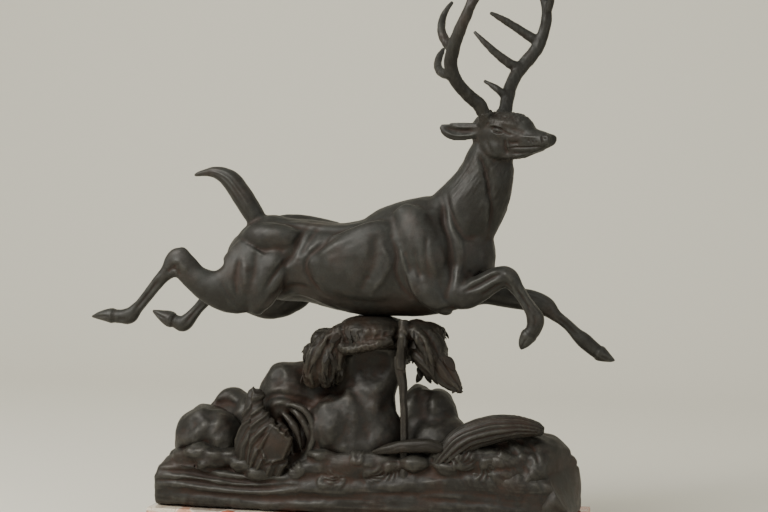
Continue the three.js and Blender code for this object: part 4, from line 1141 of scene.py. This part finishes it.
# The foliage clump: leaves count, their length, width and lift off the skin
clump = {
    "balls": [
        ([8, -6, 169], [36, 34, 17]), ([-38, -2, 158], [17, 22, 15]), ([-54, 4, 147], [11, 15, 12]),
        ([12, 14, 157], [42, 24, 22]), ([60, -6, 168], [16, 24, 13]), ([-30, 0, 140], [16, 20, 22]),
    ],
    "tubes": [
        [
            [-10, -12, 173, 12, 10], [-26, -20, 165, 14, 11], [-40, -22, 152, 14, 11],
            [-47, -21, 138, 13, 11], [-49, -20, 126, 10], [-47, -18, 117, 5, 6],
        ],
        [
            [-22, -20, 166, 10, 8], [-31, -25, 152, 11, 9], [-34, -26, 138, 10, 9], [-35, -25, 126, 7],
            [-36, -23, 118, 3],
        ],
        [[-20, -24, 168, 8, 6], [-18, -28, 156, 6, 4.5], [-20, -28, 144, 4, 3.5], [-23, -26, 133, 2]],
        [[41, -28, 184, 6, 5], [42, -32, 168, 5.5, 5], [40, -33, 152, 4.5], [39, -33, 138, 3.5, 4]],
        [
            [44, -10, 176, 20, 9], [58, -14, 168, 20, 13], [66, -17, 154, 18, 14],
            [66, -18, 140, 13, 12], [64, -18, 130, 6, 7],
        ],
        [[50, -26, 176, 8, 6], [62, -30, 164, 9, 7], [68, -31, 150, 8, 7], [70, -30, 138, 5]],
        [
            [-24, -28, 160, 4], [-12, -33, 156, 7, 5], [4, -35, 158, 8, 5.4], [18, -35, 162, 8, 5.4],
            [31, -32, 166, 4],
        ],
    ],
    "strokes": [
        ([(-24, 172), (-32, 160), (-38, 146), (-40, 128)], 1.8, -2.2),
        ([(-34, 170), (-44, 156), (-50, 140), (-52, 124)], 1.8, -2),
        ([(-18, 168), (-25, 154), (-28, 138), (-30, 122)], 1.6, -2.2),
        ([(-46, 164), (-54, 150), (-57, 136)], 1.6, -1.6),
        ([(50, 178), (60, 166), (66, 150), (66, 134)], 1.8, -2),
        ([(44, 172), (52, 160), (56, 146), (57, 132)], 1.6, -2),
        ([(62, 176), (71, 162), (75, 148)], 1.6, -1.8), ([(36, 176), (33, 164), (34, 152)], 2, -2.4),
    ],
    "cavity": ([12, -28, 142], [21, 24, 17], 15),
    "leaves": 230, "length": 12, "width": 3, "lift": 0.03,
}

# The clump's pad is crumpled, and the lobes round it hang in folds: folds are 1 - |noise| of
# points squeezed in height, so that they run down.
def buildClump(shade):
    volumes = []
    for k, (at, radii) in enumerate(clump["balls"]):
        volumes.append(stone(at, radii, 50 + k, 0, 0.12, 44, 30))
    volumes += [tube(rows, 26, 40) for rows in clump["tubes"]]
    points, quads, ends = fuse("foliageClump", volumes, 1.2)
    points = relax(points, ends, 3)
    points = hollowOut(points, *clump["cavity"])
    points = chase(points, normalsOf(points, quads), clump["strokes"], frontOf(points, quads))
    x, y, z = points.T
    padArea = ease((x + 22) / 5) * ease((38 - x) / 5) * ease((z - 150) / 6)
    hang = np.stack([x, y, z * 0.28], 1)
    folds = 1 - np.abs(layeredNoise(hang, 7.5, 2, 3))
    crumple = 1 - np.abs(softNoise(points / 4.2, 9))
    draped = 2.4 * (folds - 0.7) + 0.35 * layeredNoise(hang, 2.2, 2, 19)
    rough = 1.5 * (crumple - 0.6) + 0.4 * layeredNoise(points, 2.2, 2, 14)
    near = np.where(z < bellyHeight - 8, 1, 0.4)
    shift = (draped * (1 - padArea) + rough * (0.35 + 0.65 * padArea)) * near
    points = points + normalsOf(points, quads) * shift[:, None]
    top = bellyHeight + 1
    points[:, 2] = np.minimum(points[:, 2], top + 0.2 * (points[:, 2] - top))
    out = normalsOf(points, quads)
    x, y, z = points.T
    hidden = (np.abs(x - 8) < 30) & (z < 170) & (y < 8)
    wanted = (z < bellyHeight - 8) & (z > 128) & (out[:, 2] < 0.7) & ~hidden
    leaves = leavesOn(points, quads, wanted, clump["leaves"], clump["length"], clump["width"],
                      clump["lift"], 77, 0.35)
    finishRock("foliageClump", points, quads, shade, ["foliage_clump"], leaves,
               (3, 22, 0.4, 1.6))


# Pieces with furrows along them: furrows round the oval, their depth, how far they wander,
# and how many leaves are set on
furrowedPieces = {
    "foliageSpray": {
        "stands": ["foliage_spray"], "slot": "bronze_foliage", "furrows": 7, "depth": 1.6, "voxel": 1.1,
        "leaves": 26, "seed": 5, "wander": 0.6,
        "rows": [
            [48, -14, 160, 10, 12], [58, -20, 157, 11, 15], [68, -23, 146, 11, 14],
            [79, -25, 135, 8, 11.5], [88, -26, 126, 5, 7.5], [96, -27, 118, 1.5],
        ],
    },
    "climbingStem": {
        "stands": ["stem"], "slot": "bronze_foliage", "furrows": 5, "depth": 0.7, "voxel": 1,
        "leaves": 0, "seed": 6, "wander": 0.6,
        "rows": [
            [45, -37, 36, 8, 9], [44, -36, 58, 5], [43, -34, 80, 3.6], [42, -32, 104, 3.4],
            [41, -31, 122, 3.8, 4], [38, -30, 138, 4.6, 5], [38, -28, 150, 5, 6],
        ],
    },
    "lowBranch": {
        "stands": ["low_branch"], "slot": "bronze_foliage", "furrows": 4, "depth": 0.5, "voxel": 0.9,
        "leaves": 0, "seed": 7, "wander": 0.6,
        "rows": [
            [14, -40, 60, 1.6, 1.8], [24, -42, 63, 4], [36, -43, 66, 5.4], [52, -44, 68.5, 6, 6.2],
            [68, -44, 69.5, 6.2, 6.4], [80, -42, 67, 5], [90, -40, 63, 2],
        ],
    },
    "curledFrond": {
        "stands": ["curled_frond"], "slot": "bronze_patina", "furrows": 14, "depth": 1.9, "voxel": 1.1,
        "leaves": 0, "seed": 8, "wander": 0.35,
        "rows": [
            [77, -36, 50, 10, 7], [86, -35, 60, 14, 11], [97, -32, 71, 18, 13],
            [112, -29, 79.5, 20, 13], [130, -27, 85, 19, 12], [147, -25, 87, 17, 9.5],
            [160, -23, 86.5, 13, 7], [168, -21, 85, 9, 5], [172, -20, 84, 4, 2.5],
        ],
    },
}


# The oval's radius swells and dips round its turn as |sin(turn * furrows / 2)|, and the
# furrows drift with slow noise.
def buildFurrowed(name, shade):
    own = furrowedPieces[name]
    rows, depth, seed = own["rows"], own["depth"], own["seed"]
    points, quads, ends = fuse(name, [tube(rows, 48, 90)], own["voxel"])
    points = relax(points, ends, 3)
    _, place = limbPlace(points, rows)
    row, side, up = frameAt(rows, place)
    off = points - row[:, :3]
    turn = np.arctan2((off * side).sum(1) / row[:, 3], (off * up).sum(1) / row[:, 4])
    drift = own["wander"] * softNoise(points / 14, seed)
    wave = np.abs(np.sin(turn * own["furrows"] / 2 + drift * 2))
    fine = 0.3 * depth * np.abs(np.sin(turn * own["furrows"] * 1.5 + drift * 5))
    shift = depth * (wave - 0.6) + fine + 0.3 * layeredNoise(points, 9, 2, seed)
    points = points + normalsOf(points, quads) * shift[:, None]
    leaves = None
    if own["leaves"]:
        able = normalsOf(points, quads)[:, 2] > -0.9
        leaves = leavesOn(points, quads, able, own["leaves"], 13, 3.6, 0.1, seed + 4)
    finishRock(name, points, quads, shade, own["stands"], leaves, (3, 20, 0.35, 1.4))


bark = {
    "shield": [(-81, 84), (-63, 70), (-70, 52), (-86, 49), (-92, 62)], "face": -50, "ridge": 2.2,
    "fineRidge": 0.7, "ridgeGap": 1.9, "fineGap": 0.83, "fanAt": (-104, 128),
    "rows": [
        [-93, -42, 34, 6, 17], [-93, -44, 48, 7, 25], [-95, -44, 64, 7, 26], [-99, -42, 82, 6.5, 18],
        [-103, -38, 98, 6, 10], [-102, -35, 110, 5, 9], [-101, -33, 116, 3, 6],
    ],
}


# The fan of bark: ridges run up it aslant, as 1 - |sin(slant)|, and a smooth shield stands
# over its right foot.
def buildBark(shade):
    volumes = [tube(bark["rows"], 48, 80), stone([-79.5, -46, 66], [17, 8, 19], 61, 3, 0.02, 48, 32)]
    points, quads, ends = fuse("barkPlate", volumes, 1.0)
    points = relax(points, ends, 3)
    out = normalsOf(points, quads)
    x, y, z = points.T
    corners = np.array(bark["shield"], float)
    edge = unit(np.roll(corners, -1, 0) - corners)
    outward = np.stack([-edge[:, 1], edge[:, 0]], 1) * np.sign(edge[0, 0])
    apart = points[:, None, [0, 2]] - corners[None]
    beyond = (apart * outward[None]).sum(2).max(1)    # over zero outside the shield
    onFront = ease((-out[:, 1] - 0.1) / 0.3)
    inside = ease((0.5 - beyond) / 1.5) * onFront
    fan = np.arctan2(x - bark["fanAt"][0], z - bark["fanAt"][1])
    slant = 9 * fan + (x + 92) * 0.66 - (z - 70) * 0.36 + 2.6 * softNoise(points / 16, 4)
    ridge = 1 - np.abs(np.sin(slant / bark["ridgeGap"]))
    fineRidge = 1 - np.abs(np.sin(slant / bark["fineGap"] + 0.7 + softNoise(points / 7, 2)))
    shift = (1 - inside) * (bark["ridge"] * (ridge - 0.4) + bark["fineRidge"] * fineRidge)
    points = points + out * shift[:, None]
    flatFace = bark["face"] - 0.12 * (x + 80)
    points[:, 1] = points[:, 1] + inside * (flatFace - points[:, 1]) * 0.6
    out = normalsOf(points, quads)
    rim = 0.7 * np.exp(-((beyond / 1.4) ** 2)) - np.exp(-(((beyond - 3.4) / 1.6) ** 2))
    points = points + out * (rim * onFront + 0.12 * layeredNoise(points, 3, 2, 8))[:, None]
    points[:, 2] = np.maximum(points[:, 2], 8)
    finishRock("barkPlate", points, quads, shade, ["bark_plate"], None, (3, 20, 0.35, 1.4))


# Gives a socket a value, or links it when the value is another node's output.
def feed(tree, socket, value):
    if isinstance(value, bpy.types.NodeSocket):
        tree.links.new(value, socket)
    else:
        socket.default_value = value


# Inputs go by name, or as n0, n1 and so on by number, and a leading _ sets the node itself.
def addNode(tree, kind, **inputs):
    node = tree.nodes.new("ShaderNode" + kind)
    for name, value in inputs.items():
        if name[0] == "_":
            setattr(node, name[1:], value)
        elif name[0] == "n" and name[1:].isdigit():
            feed(tree, node.inputs[int(name[1:])], value)
        else:
            feed(tree, node.inputs[name.replace("_", " ")], value)
    return node


def ramp(tree, factor, stops):
    node = addNode(tree, "ValToRGB", Fac=factor)
    band = node.color_ramp
    while len(band.elements) > 1:
        band.elements.remove(band.elements[-1])
    for k, (place, colour) in enumerate(stops):
        stop = band.elements[0] if k == 0 else band.elements.new(place)
        stop.position = place
        stop.color = (*colour, 1)
    return node.outputs[0]


def blend(tree, factor, one, two):
    return addNode(tree, "Mix", _data_type="RGBA", n0=factor, n6=one, n7=two).outputs[2]


def timesTone(tree, colour, tone):
    node = addNode(tree, "Mix", _data_type="RGBA", _blend_type="MULTIPLY", n0=1.0, n6=colour)
    tree.links.new(tone, node.inputs[7])
    return node.outputs[2]


def maskMath(tree, kind, one, two, clamp=False):
    return addNode(tree, "Math", _operation=kind, _use_clamp=clamp, n0=one, n1=two).outputs[0]


def stretch(tree, value, low, high, toLow=0.0, toHigh=1.0):
    return addNode(tree, "MapRange", n0=value, n1=low, n2=high, n3=toLow, n4=toHigh).outputs[0]


def noise(tree, place, scale, detail, **more):
    return addNode(tree, "TexNoise", Vector=place, Scale=scale, Detail=detail, **more)


def newGroup(name, inputs, outputs):
    group = bpy.data.node_groups.new(name, "ShaderNodeTree")
    for title, kind, value in inputs:
        socket = group.interface.new_socket(title, in_out="INPUT", socket_type=kind)
        socket.default_value = value
    for title, kind in outputs:
        group.interface.new_socket(title, in_out="OUTPUT", socket_type=kind)
    given = group.nodes.new("NodeGroupInput")
    made = group.nodes.new("NodeGroupOutput")
    return group, given.outputs, made.inputs


def newMaterial(name, **constants):
    material = bpy.data.materials.new(name)
    material.use_nodes = True
    tree = material.node_tree
    shader = tree.nodes["Principled BSDF"]
    for title, value in constants.items():
        shader.inputs[title.replace("_", " ")].default_value = value
    return material, tree, shader


def addBump(tree, shader, height, strength, distance):
    raised = addNode(tree, "Bump", Height=height, Strength=strength, Distance=distance)
    tree.links.new(raised.outputs[0], shader.inputs["Normal"])


# Patina: dark brown, a grey-green haze in clouds, russet in hollows, and worn bare edges.
# The haze is also painted stronger on upward faces as painted top light, the deepest hollows
# get a near-black painted shade, and the worn edges are lightened partly as a painted highlight.
def makePatinaGroup():
    group, given, made = newGroup("patinaAndPaintedLight", [
        ("Dark", "NodeSocketColor", (0.02, 0.017, 0.014, 1)),
        ("Haze", "NodeSocketColor", (0.06, 0.06, 0.052, 1)),
        ("Russet", "NodeSocketColor", (0.06, 0.02, 0.01, 1)),
        ("Russet Amount", "NodeSocketFloat", 0.6),
        ("Burnish And Highlight", "NodeSocketColor", (0.12, 0.095, 0.06, 1)),
        ("Burnish Amount", "NodeSocketFloat", 0.4),
        ("Roughness Base", "NodeSocketFloat", 0.42),
    ], [("Color", "NodeSocketColor"), ("Roughness", "NodeSocketFloat"), ("Height", "NodeSocketFloat")])
    place = addNode(group, "TexCoord").outputs["Object"]
    fine = addNode(group, "Attribute", _attribute_name="fine").outputs["Fac"]
    broad = addNode(group, "Attribute", _attribute_name="broad").outputs["Fac"]
    slow = noise(group, place, 24, 4, Roughness=0.6).outputs[0]
    patch = noise(group, place, 75, 5, Roughness=0.62, Distortion=0.6).outputs[0]
    speck = noise(group, place, 700, 3, Roughness=0.6).outputs[0]
    drawn = addNode(group, "Mapping", Vector=place, Scale=(1, 1.2, 0.24)).outputs[0]
    brush = noise(group, drawn, 1500, 3, Roughness=0.65).outputs[0]
    # Painted top light: faces that turn upwards get more of the haze, so tops are painted lighter.
    facing = addNode(group, "SeparateXYZ", Vector=addNode(group, "NewGeometry").outputs["Normal"]).outputs[2]
    paintedTopLight = stretch(group, facing, -0.2, 0.95)
    cloud = stretch(group, slow, 0.35, 0.7, 0.35, 1)
    hazeAndTopLight = maskMath(group, "MULTIPLY", cloud, stretch(group, patch, 0.35, 0.7, 0.4, 1))
    hazeAndTopLight = maskMath(group, "MULTIPLY", hazeAndTopLight, stretch(group, paintedTopLight, 0, 1, 0.65, 1.1), True)
    colour = blend(group, hazeAndTopLight, given["Dark"], given["Haze"])
    sunk = maskMath(group, "ADD", stretch(group, broad, 0.02, 0.6),
                    stretch(group, fine, 0.1, 0.8, 0, 0.5), True)
    warm = maskMath(group, "ADD", stretch(group, sunk, 0, 1, 0, 0.7),
                    stretch(group, slow, 0.5, 0.7, 0, 0.8), True)
    warm = maskMath(group, "MULTIPLY", warm, given["Russet Amount"], True)
    colour = blend(group, warm, colour, given["Russet"])
    # Painted shade: the deepest hollows are darkened towards near black.
    deep = stretch(group, broad, 0.35, 1.0, 0, 0.6)
    colour = blend(group, deep, colour, (0.008, 0.005, 0.004, 1))
    # Worn bare edges on the proud ridges: real wear, lightened partly as a painted highlight.
    proud = maskMath(group, "ADD", stretch(group, broad, -0.15, -0.9),
                     stretch(group, fine, -0.15, -0.9, 0, 0.8), True)
    wearAndHighlight = maskMath(group, "MULTIPLY", proud, stretch(group, patch, 0.3, 0.65, 0.3, 1))
    bareWearAndHighlight = maskMath(group, "MULTIPLY", wearAndHighlight, given["Burnish Amount"], True)
    colour = blend(group, bareWearAndHighlight, colour, given["Burnish And Highlight"])
    toned = timesTone(group, colour, stretch(group, speck, 0.3, 0.7, 0.82, 1.18))
    rough = maskMath(group, "ADD", given["Roughness Base"], stretch(group, patch, 0.3, 0.7, -0.06, 0.08))
    rough = maskMath(group, "ADD", rough, stretch(group, sunk, 0, 1, 0, 0.14), True)
    rough = maskMath(group, "SUBTRACT", rough, stretch(group, wearAndHighlight, 0, 1, 0, 0.1), True)
    brush, speck = maskMath(group, "MULTIPLY", brush, 0.6), maskMath(group, "MULTIPLY", speck, 0.4)
    group.links.new(toned, made["Color"])
    group.links.new(rough, made["Roughness"])
    group.links.new(maskMath(group, "ADD", brush, speck), made["Height"])
    return group


patinaAndPaintedLight = makePatinaGroup()
# Each bronze's Haze colour also serves as painted top light on upward faces, and its Burnish colour partly as
# a painted highlight on proud edges.
bronzes = {
    "stagBronze": {
        "bump": 0.35, "Metallic": 0.2, "Coat_Weight": 0.02,
        "Dark": (0.0105, 0.0078, 0.0055, 1), "Haze": (0.039, 0.043, 0.039, 1),
        "Russet": (0.03, 0.0135, 0.0075, 1), "Russet Amount": 0.55,
        "Burnish And Highlight": (0.075, 0.075, 0.066, 1), "Burnish Amount": 0.3, "Roughness Base": 0.52,
    },
    "groundBronze": {
        "bump": 0.5, "Metallic": 0.15, "Coat_Weight": 0.0,
        "Dark": (0.0088, 0.0062, 0.0042, 1), "Haze": (0.027, 0.028, 0.024, 1),
        "Russet": (0.036, 0.0145, 0.007, 1), "Russet Amount": 0.6,
        "Burnish And Highlight": (0.058, 0.055, 0.045, 1), "Burnish Amount": 0.5, "Roughness Base": 0.52,
    },
    "leafBronze": {
        "bump": 0.55, "Metallic": 0.15, "Coat_Weight": 0.0,
        "Dark": (0.0085, 0.006, 0.004, 1), "Haze": (0.026, 0.025, 0.02, 1),
        "Russet": (0.034, 0.0155, 0.0075, 1), "Russet Amount": 0.6,
        "Burnish And Highlight": (0.056, 0.05, 0.038, 1), "Burnish Amount": 0.5, "Roughness Base": 0.54,
    },
}


def makeBronze(name):
    own = bronzes[name]
    material, tree, shader = newMaterial(name, Metallic=own["Metallic"], Coat_Weight=own["Coat_Weight"],
                                         Coat_Roughness=0.35, Specular_IOR_Level=0.3)
    node = tree.nodes.new("ShaderNodeGroup")
    node.node_tree = patinaAndPaintedLight
    for socket in node.inputs:
        socket.default_value = own[socket.name]
    tree.links.new(node.outputs["Color"], shader.inputs["Base Color"])
    tree.links.new(node.outputs["Roughness"], shader.inputs["Roughness"])
    addBump(tree, shader, node.outputs["Height"], own["bump"], 0.0004)
    return material


marbleColours = [
    (0.0, (0.44, 0.1, 0.055)), (0.2, (0.5, 0.15, 0.08)), (0.32, (0.66, 0.5, 0.42)), (0.5, (0.7, 0.64, 0.55)),
    (0.62, (0.36, 0.38, 0.33)), (0.74, (0.56, 0.2, 0.1)), (0.88, (0.74, 0.66, 0.52)),
]


# Marble: bent cells in their own colours, with pale veins between them and thin dark threads.
def makeMarble():
    material, tree, shader = newMaterial("redMarble", Roughness=0.2, Coat_Weight=0.25, Coat_Roughness=0.08)
    place = addNode(tree, "TexCoord").outputs["Object"]
    warp = noise(tree, place, 30, 4).outputs[1]
    bend = (0.03, 0.03, 0.03)
    bent = addNode(tree, "VectorMath", _operation="MULTIPLY_ADD", n0=warp, n1=bend, n2=place).outputs[0]
    cells = addNode(tree, "TexVoronoi", Vector=bent, Scale=34, Randomness=1)
    patch = ramp(tree, addNode(tree, "SeparateColor", Color=cells.outputs["Color"]).outputs[0], marbleColours)
    border = addNode(tree, "TexVoronoi", Vector=bent, Scale=34, Randomness=1, _feature="DISTANCE_TO_EDGE")
    vein = stretch(tree, border.outputs[0], 0.0, 0.05, 1, 0)
    colour = blend(tree, maskMath(tree, "MULTIPLY", vein, 0.7), patch, (0.78, 0.7, 0.6, 1))
    thread = maskMath(tree, "SUBTRACT", noise(tree, bent, 55, 5, Distortion=1.6).outputs[0], 0.5)
    line = stretch(tree, addNode(tree, "Math", _operation="ABSOLUTE", n0=thread).outputs[0], 0, 0.025, 1, 0)
    colour = blend(tree, maskMath(tree, "MULTIPLY", line, 0.75), colour, (0.3, 0.12, 0.07, 1))
    cloud = noise(tree, bent, 120, 6, Roughness=0.65).outputs[0]
    toned = timesTone(tree, colour, stretch(tree, cloud, 0.25, 0.75, 0.7, 1.2))
    tree.links.new(toned, shader.inputs["Base Color"])
    tree.links.new(stretch(tree, cloud, 0.3, 0.7, 0.14, 0.26), shader.inputs["Roughness"])
    return material


def makeFelt():
    material, tree, shader = newMaterial("greenFelt", Roughness=0.95, Sheen_Weight=0.35, Sheen_Roughness=0.6)
    place = addNode(tree, "TexCoord").outputs["Object"]
    wool = noise(tree, place, 900, 5, Roughness=0.7, Distortion=1.2).outputs[0]
    slow = noise(tree, place, 40, 3).outputs[0]
    shade = maskMath(tree, "MULTIPLY", wool, stretch(tree, slow, 0.3, 0.7, 0.8, 1.15))
    greens = [(0.2, (0.012, 0.035, 0.018)), (0.55, (0.035, 0.1, 0.05)), (0.8, (0.06, 0.15, 0.08))]
    colour = ramp(tree, shade, greens)
    tree.links.new(colour, shader.inputs["Base Color"])
    addBump(tree, shader, wool, 0.7, 0.0006)
    return material


# Turned metal: fine lines round the axis, and slow stains.
def makeTurned(name, dark, bright, roughness):
    material, tree, shader = newMaterial(name, Metallic=1.0)
    place = addNode(tree, "TexCoord").outputs["Object"]
    drawn = addNode(tree, "Mapping", Vector=place, Scale=(0.3, 0.3, 4)).outputs[0]
    lines = noise(tree, drawn, 900, 4).outputs[0]
    stain = noise(tree, place, 130, 4).outputs[0]
    colour = blend(tree, stretch(tree, stain, 0.35, 0.65), (*dark, 1), (*bright, 1))
    tree.links.new(colour, shader.inputs["Base Color"])
    rough = stretch(tree, lines, 0.3, 0.7, roughness - 0.08, roughness + 0.1)
    tree.links.new(rough, shader.inputs["Roughness"])
    addBump(tree, shader, lines, 0.25, 0.0002)
    return material


stagBronze, groundBronze, leafBronze = (makeBronze(name) for name in bronzes)
fittings = {
    "bronze_pin": makeTurned("turnedBronze", (0.34, 0.2, 0.08), (0.55, 0.36, 0.16), 0.32),
    "steel": makeTurned("zincSteel", (0.42, 0.43, 0.44), (0.62, 0.62, 0.6), 0.3),
    "marble": makeMarble(),
}
for row in frame["record"]["subparts"]:
    if row["material_slot"] in fittings:
        materials = frame["nodes"][row["node"]].data.materials
        materials.clear()
        materials.append(fittings[row["material_slot"]])
print("finishes made")

felt = {"along": 140, "across": 44, "lift": 0.02, "rimDrop": 0.25}


# A sheet cut to size: an upper and a lower grid, drawn in a little at the rim, and a wall
# round them.
def buildFelt(shade):
    low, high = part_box("felt_sheet")
    long, wide, thick = (side / metre for side in high - low)
    along, across = felt["along"], felt["across"]
    s, t = np.linspace(-1, 1, along), np.linspace(-1, 1, across)
    x, y = np.meshgrid(s * long / 2, t * wide / 2, indexing="ij")
    rim = (np.abs(s)[:, None] > 0.999) | (np.abs(t)[None] > 0.999)
    under = np.stack([x, y, felt["lift"] + felt["rimDrop"] * rim], -1).reshape(-1, 3)
    over = np.stack([x, y, thick - felt["rimDrop"] * rim], -1).reshape(-1, 3)
    face = gridSquares(along, across)[:, [0, 3, 2, 1]]
    last = along * across - 1
    border = np.concatenate([
        np.arange(across), np.arange(2, along + 1) * across - 1,
        last - 1 - np.arange(across - 1), np.arange(1, along - 1)[::-1] * across,
    ])
    after = np.roll(border, -1)
    upper = last + 1
    wall = np.stack([border, after, after + upper, border + upper], -1)
    quads = np.concatenate([face[:, ::-1], face + upper, wall[:, ::-1]])
    points = np.concatenate([under, over])
    piece = addPiece("feltSheet", points, quads, noFans, 0, shade, ["felt_sheet"])


buildFigure(stagBronze)
buildAntlers(stagBronze)
buildGround(groundBronze)
buildRocks(groundBronze)
buildClump(leafBronze)
buildBark(leafBronze)
for name in ("foliageSpray", "climbingStem", "lowBranch"):
    buildFurrowed(name, leafBronze)
buildFurrowed("curledFrond", groundBronze)
buildFelt(makeFelt())

view = {"lens": 89.06, "turn": 14, "rise": 4.2, "distance": 1.805, "target": (0.0151, 0, 0.2805)}
camera = bpy.data.objects.new("camera", bpy.data.cameras.new("camera"))
bpy.context.scene.collection.objects.link(camera)
camera.data.lens = view["lens"]
turn, rise = math.radians(view["turn"]), math.radians(view["rise"])
back = Vector((math.sin(turn) * math.cos(rise), -math.cos(turn) * math.cos(rise), math.sin(rise)))
camera.location = Vector(view["target"]) + back * view["distance"]
camera.rotation_euler = (-back).to_track_quat("-Z", "Y").to_euler()
bpy.context.scene.camera = camera

# Studio: two soft lamps, pale air, and a sheet of paper that turns up behind
lamps = {
    "windowLight": {"at": (-1.1, -1.3, 1.5), "size": 1.1, "power": 60, "colour": (1, 0.98, 0.94)},
    "rightFill": {"at": (1.5, -0.9, 0.7), "size": 1.2, "power": 6, "colour": (1, 1, 1)},
}
lampAim = Vector((0, 0, 0.25))
air = {"colour": (0.765, 0.745, 0.67, 1), "strength": 0.7}
sweep = {
    "halfWidth": 3, "front": -2.5, "bend": 1.0, "radius": 0.8, "top": 3,
    "colour": (0.765, 0.745, 0.655, 1),
}

for name, own in lamps.items():
    data = bpy.data.lights.new(name, "AREA")
    data.shape = "RECTANGLE"
    data.size = data.size_y = own["size"]
    data.energy = own["power"]
    data.color = own["colour"]
    lamp = bpy.data.objects.new(name, data)
    lamp.location = own["at"]
    lamp.rotation_euler = (lampAim - Vector(own["at"])).to_track_quat("-Z", "Y").to_euler()
    bpy.context.scene.collection.objects.link(lamp)
world = bpy.data.worlds.new("room")
bpy.context.scene.world = world
world.use_nodes = True
world.node_tree.nodes["Background"].inputs["Color"].default_value = air["colour"]
world.node_tree.nodes["Background"].inputs["Strength"].default_value = air["strength"]


# The paper: a level floor, then a quarter round, then a wall.
def buildSweep():
    radius, bend, columns = sweep["radius"], sweep["bend"], 12
    angle = np.linspace(0, np.pi / 2, 30)[1:]
    floor, wall = np.linspace(sweep["front"], bend, 20), np.linspace(0.9, sweep["top"], 12)
    run = np.concatenate([floor, bend + radius * np.sin(angle), np.full(len(wall), bend + radius)])
    lift = np.concatenate([0 * floor, radius - radius * np.cos(angle), wall])
    x = np.linspace(-sweep["halfWidth"], sweep["halfWidth"], columns)
    grid = np.stack(np.broadcast_arrays(x[None], run[:, None], lift[:, None]), -1)
    mesh = meshOf("paperSweep", grid.reshape(-1, 3), gridSquares(len(run), columns))
    paper, _, shader = newMaterial("paper", Roughness=0.9)
    shader.inputs["Base Color"].default_value = sweep["colour"]
    mesh.materials.append(paper)
    piece = bpy.data.objects.new("paperSweep", mesh)
    bpy.context.scene.collection.objects.link(piece)


buildSweep()
print("studio set")
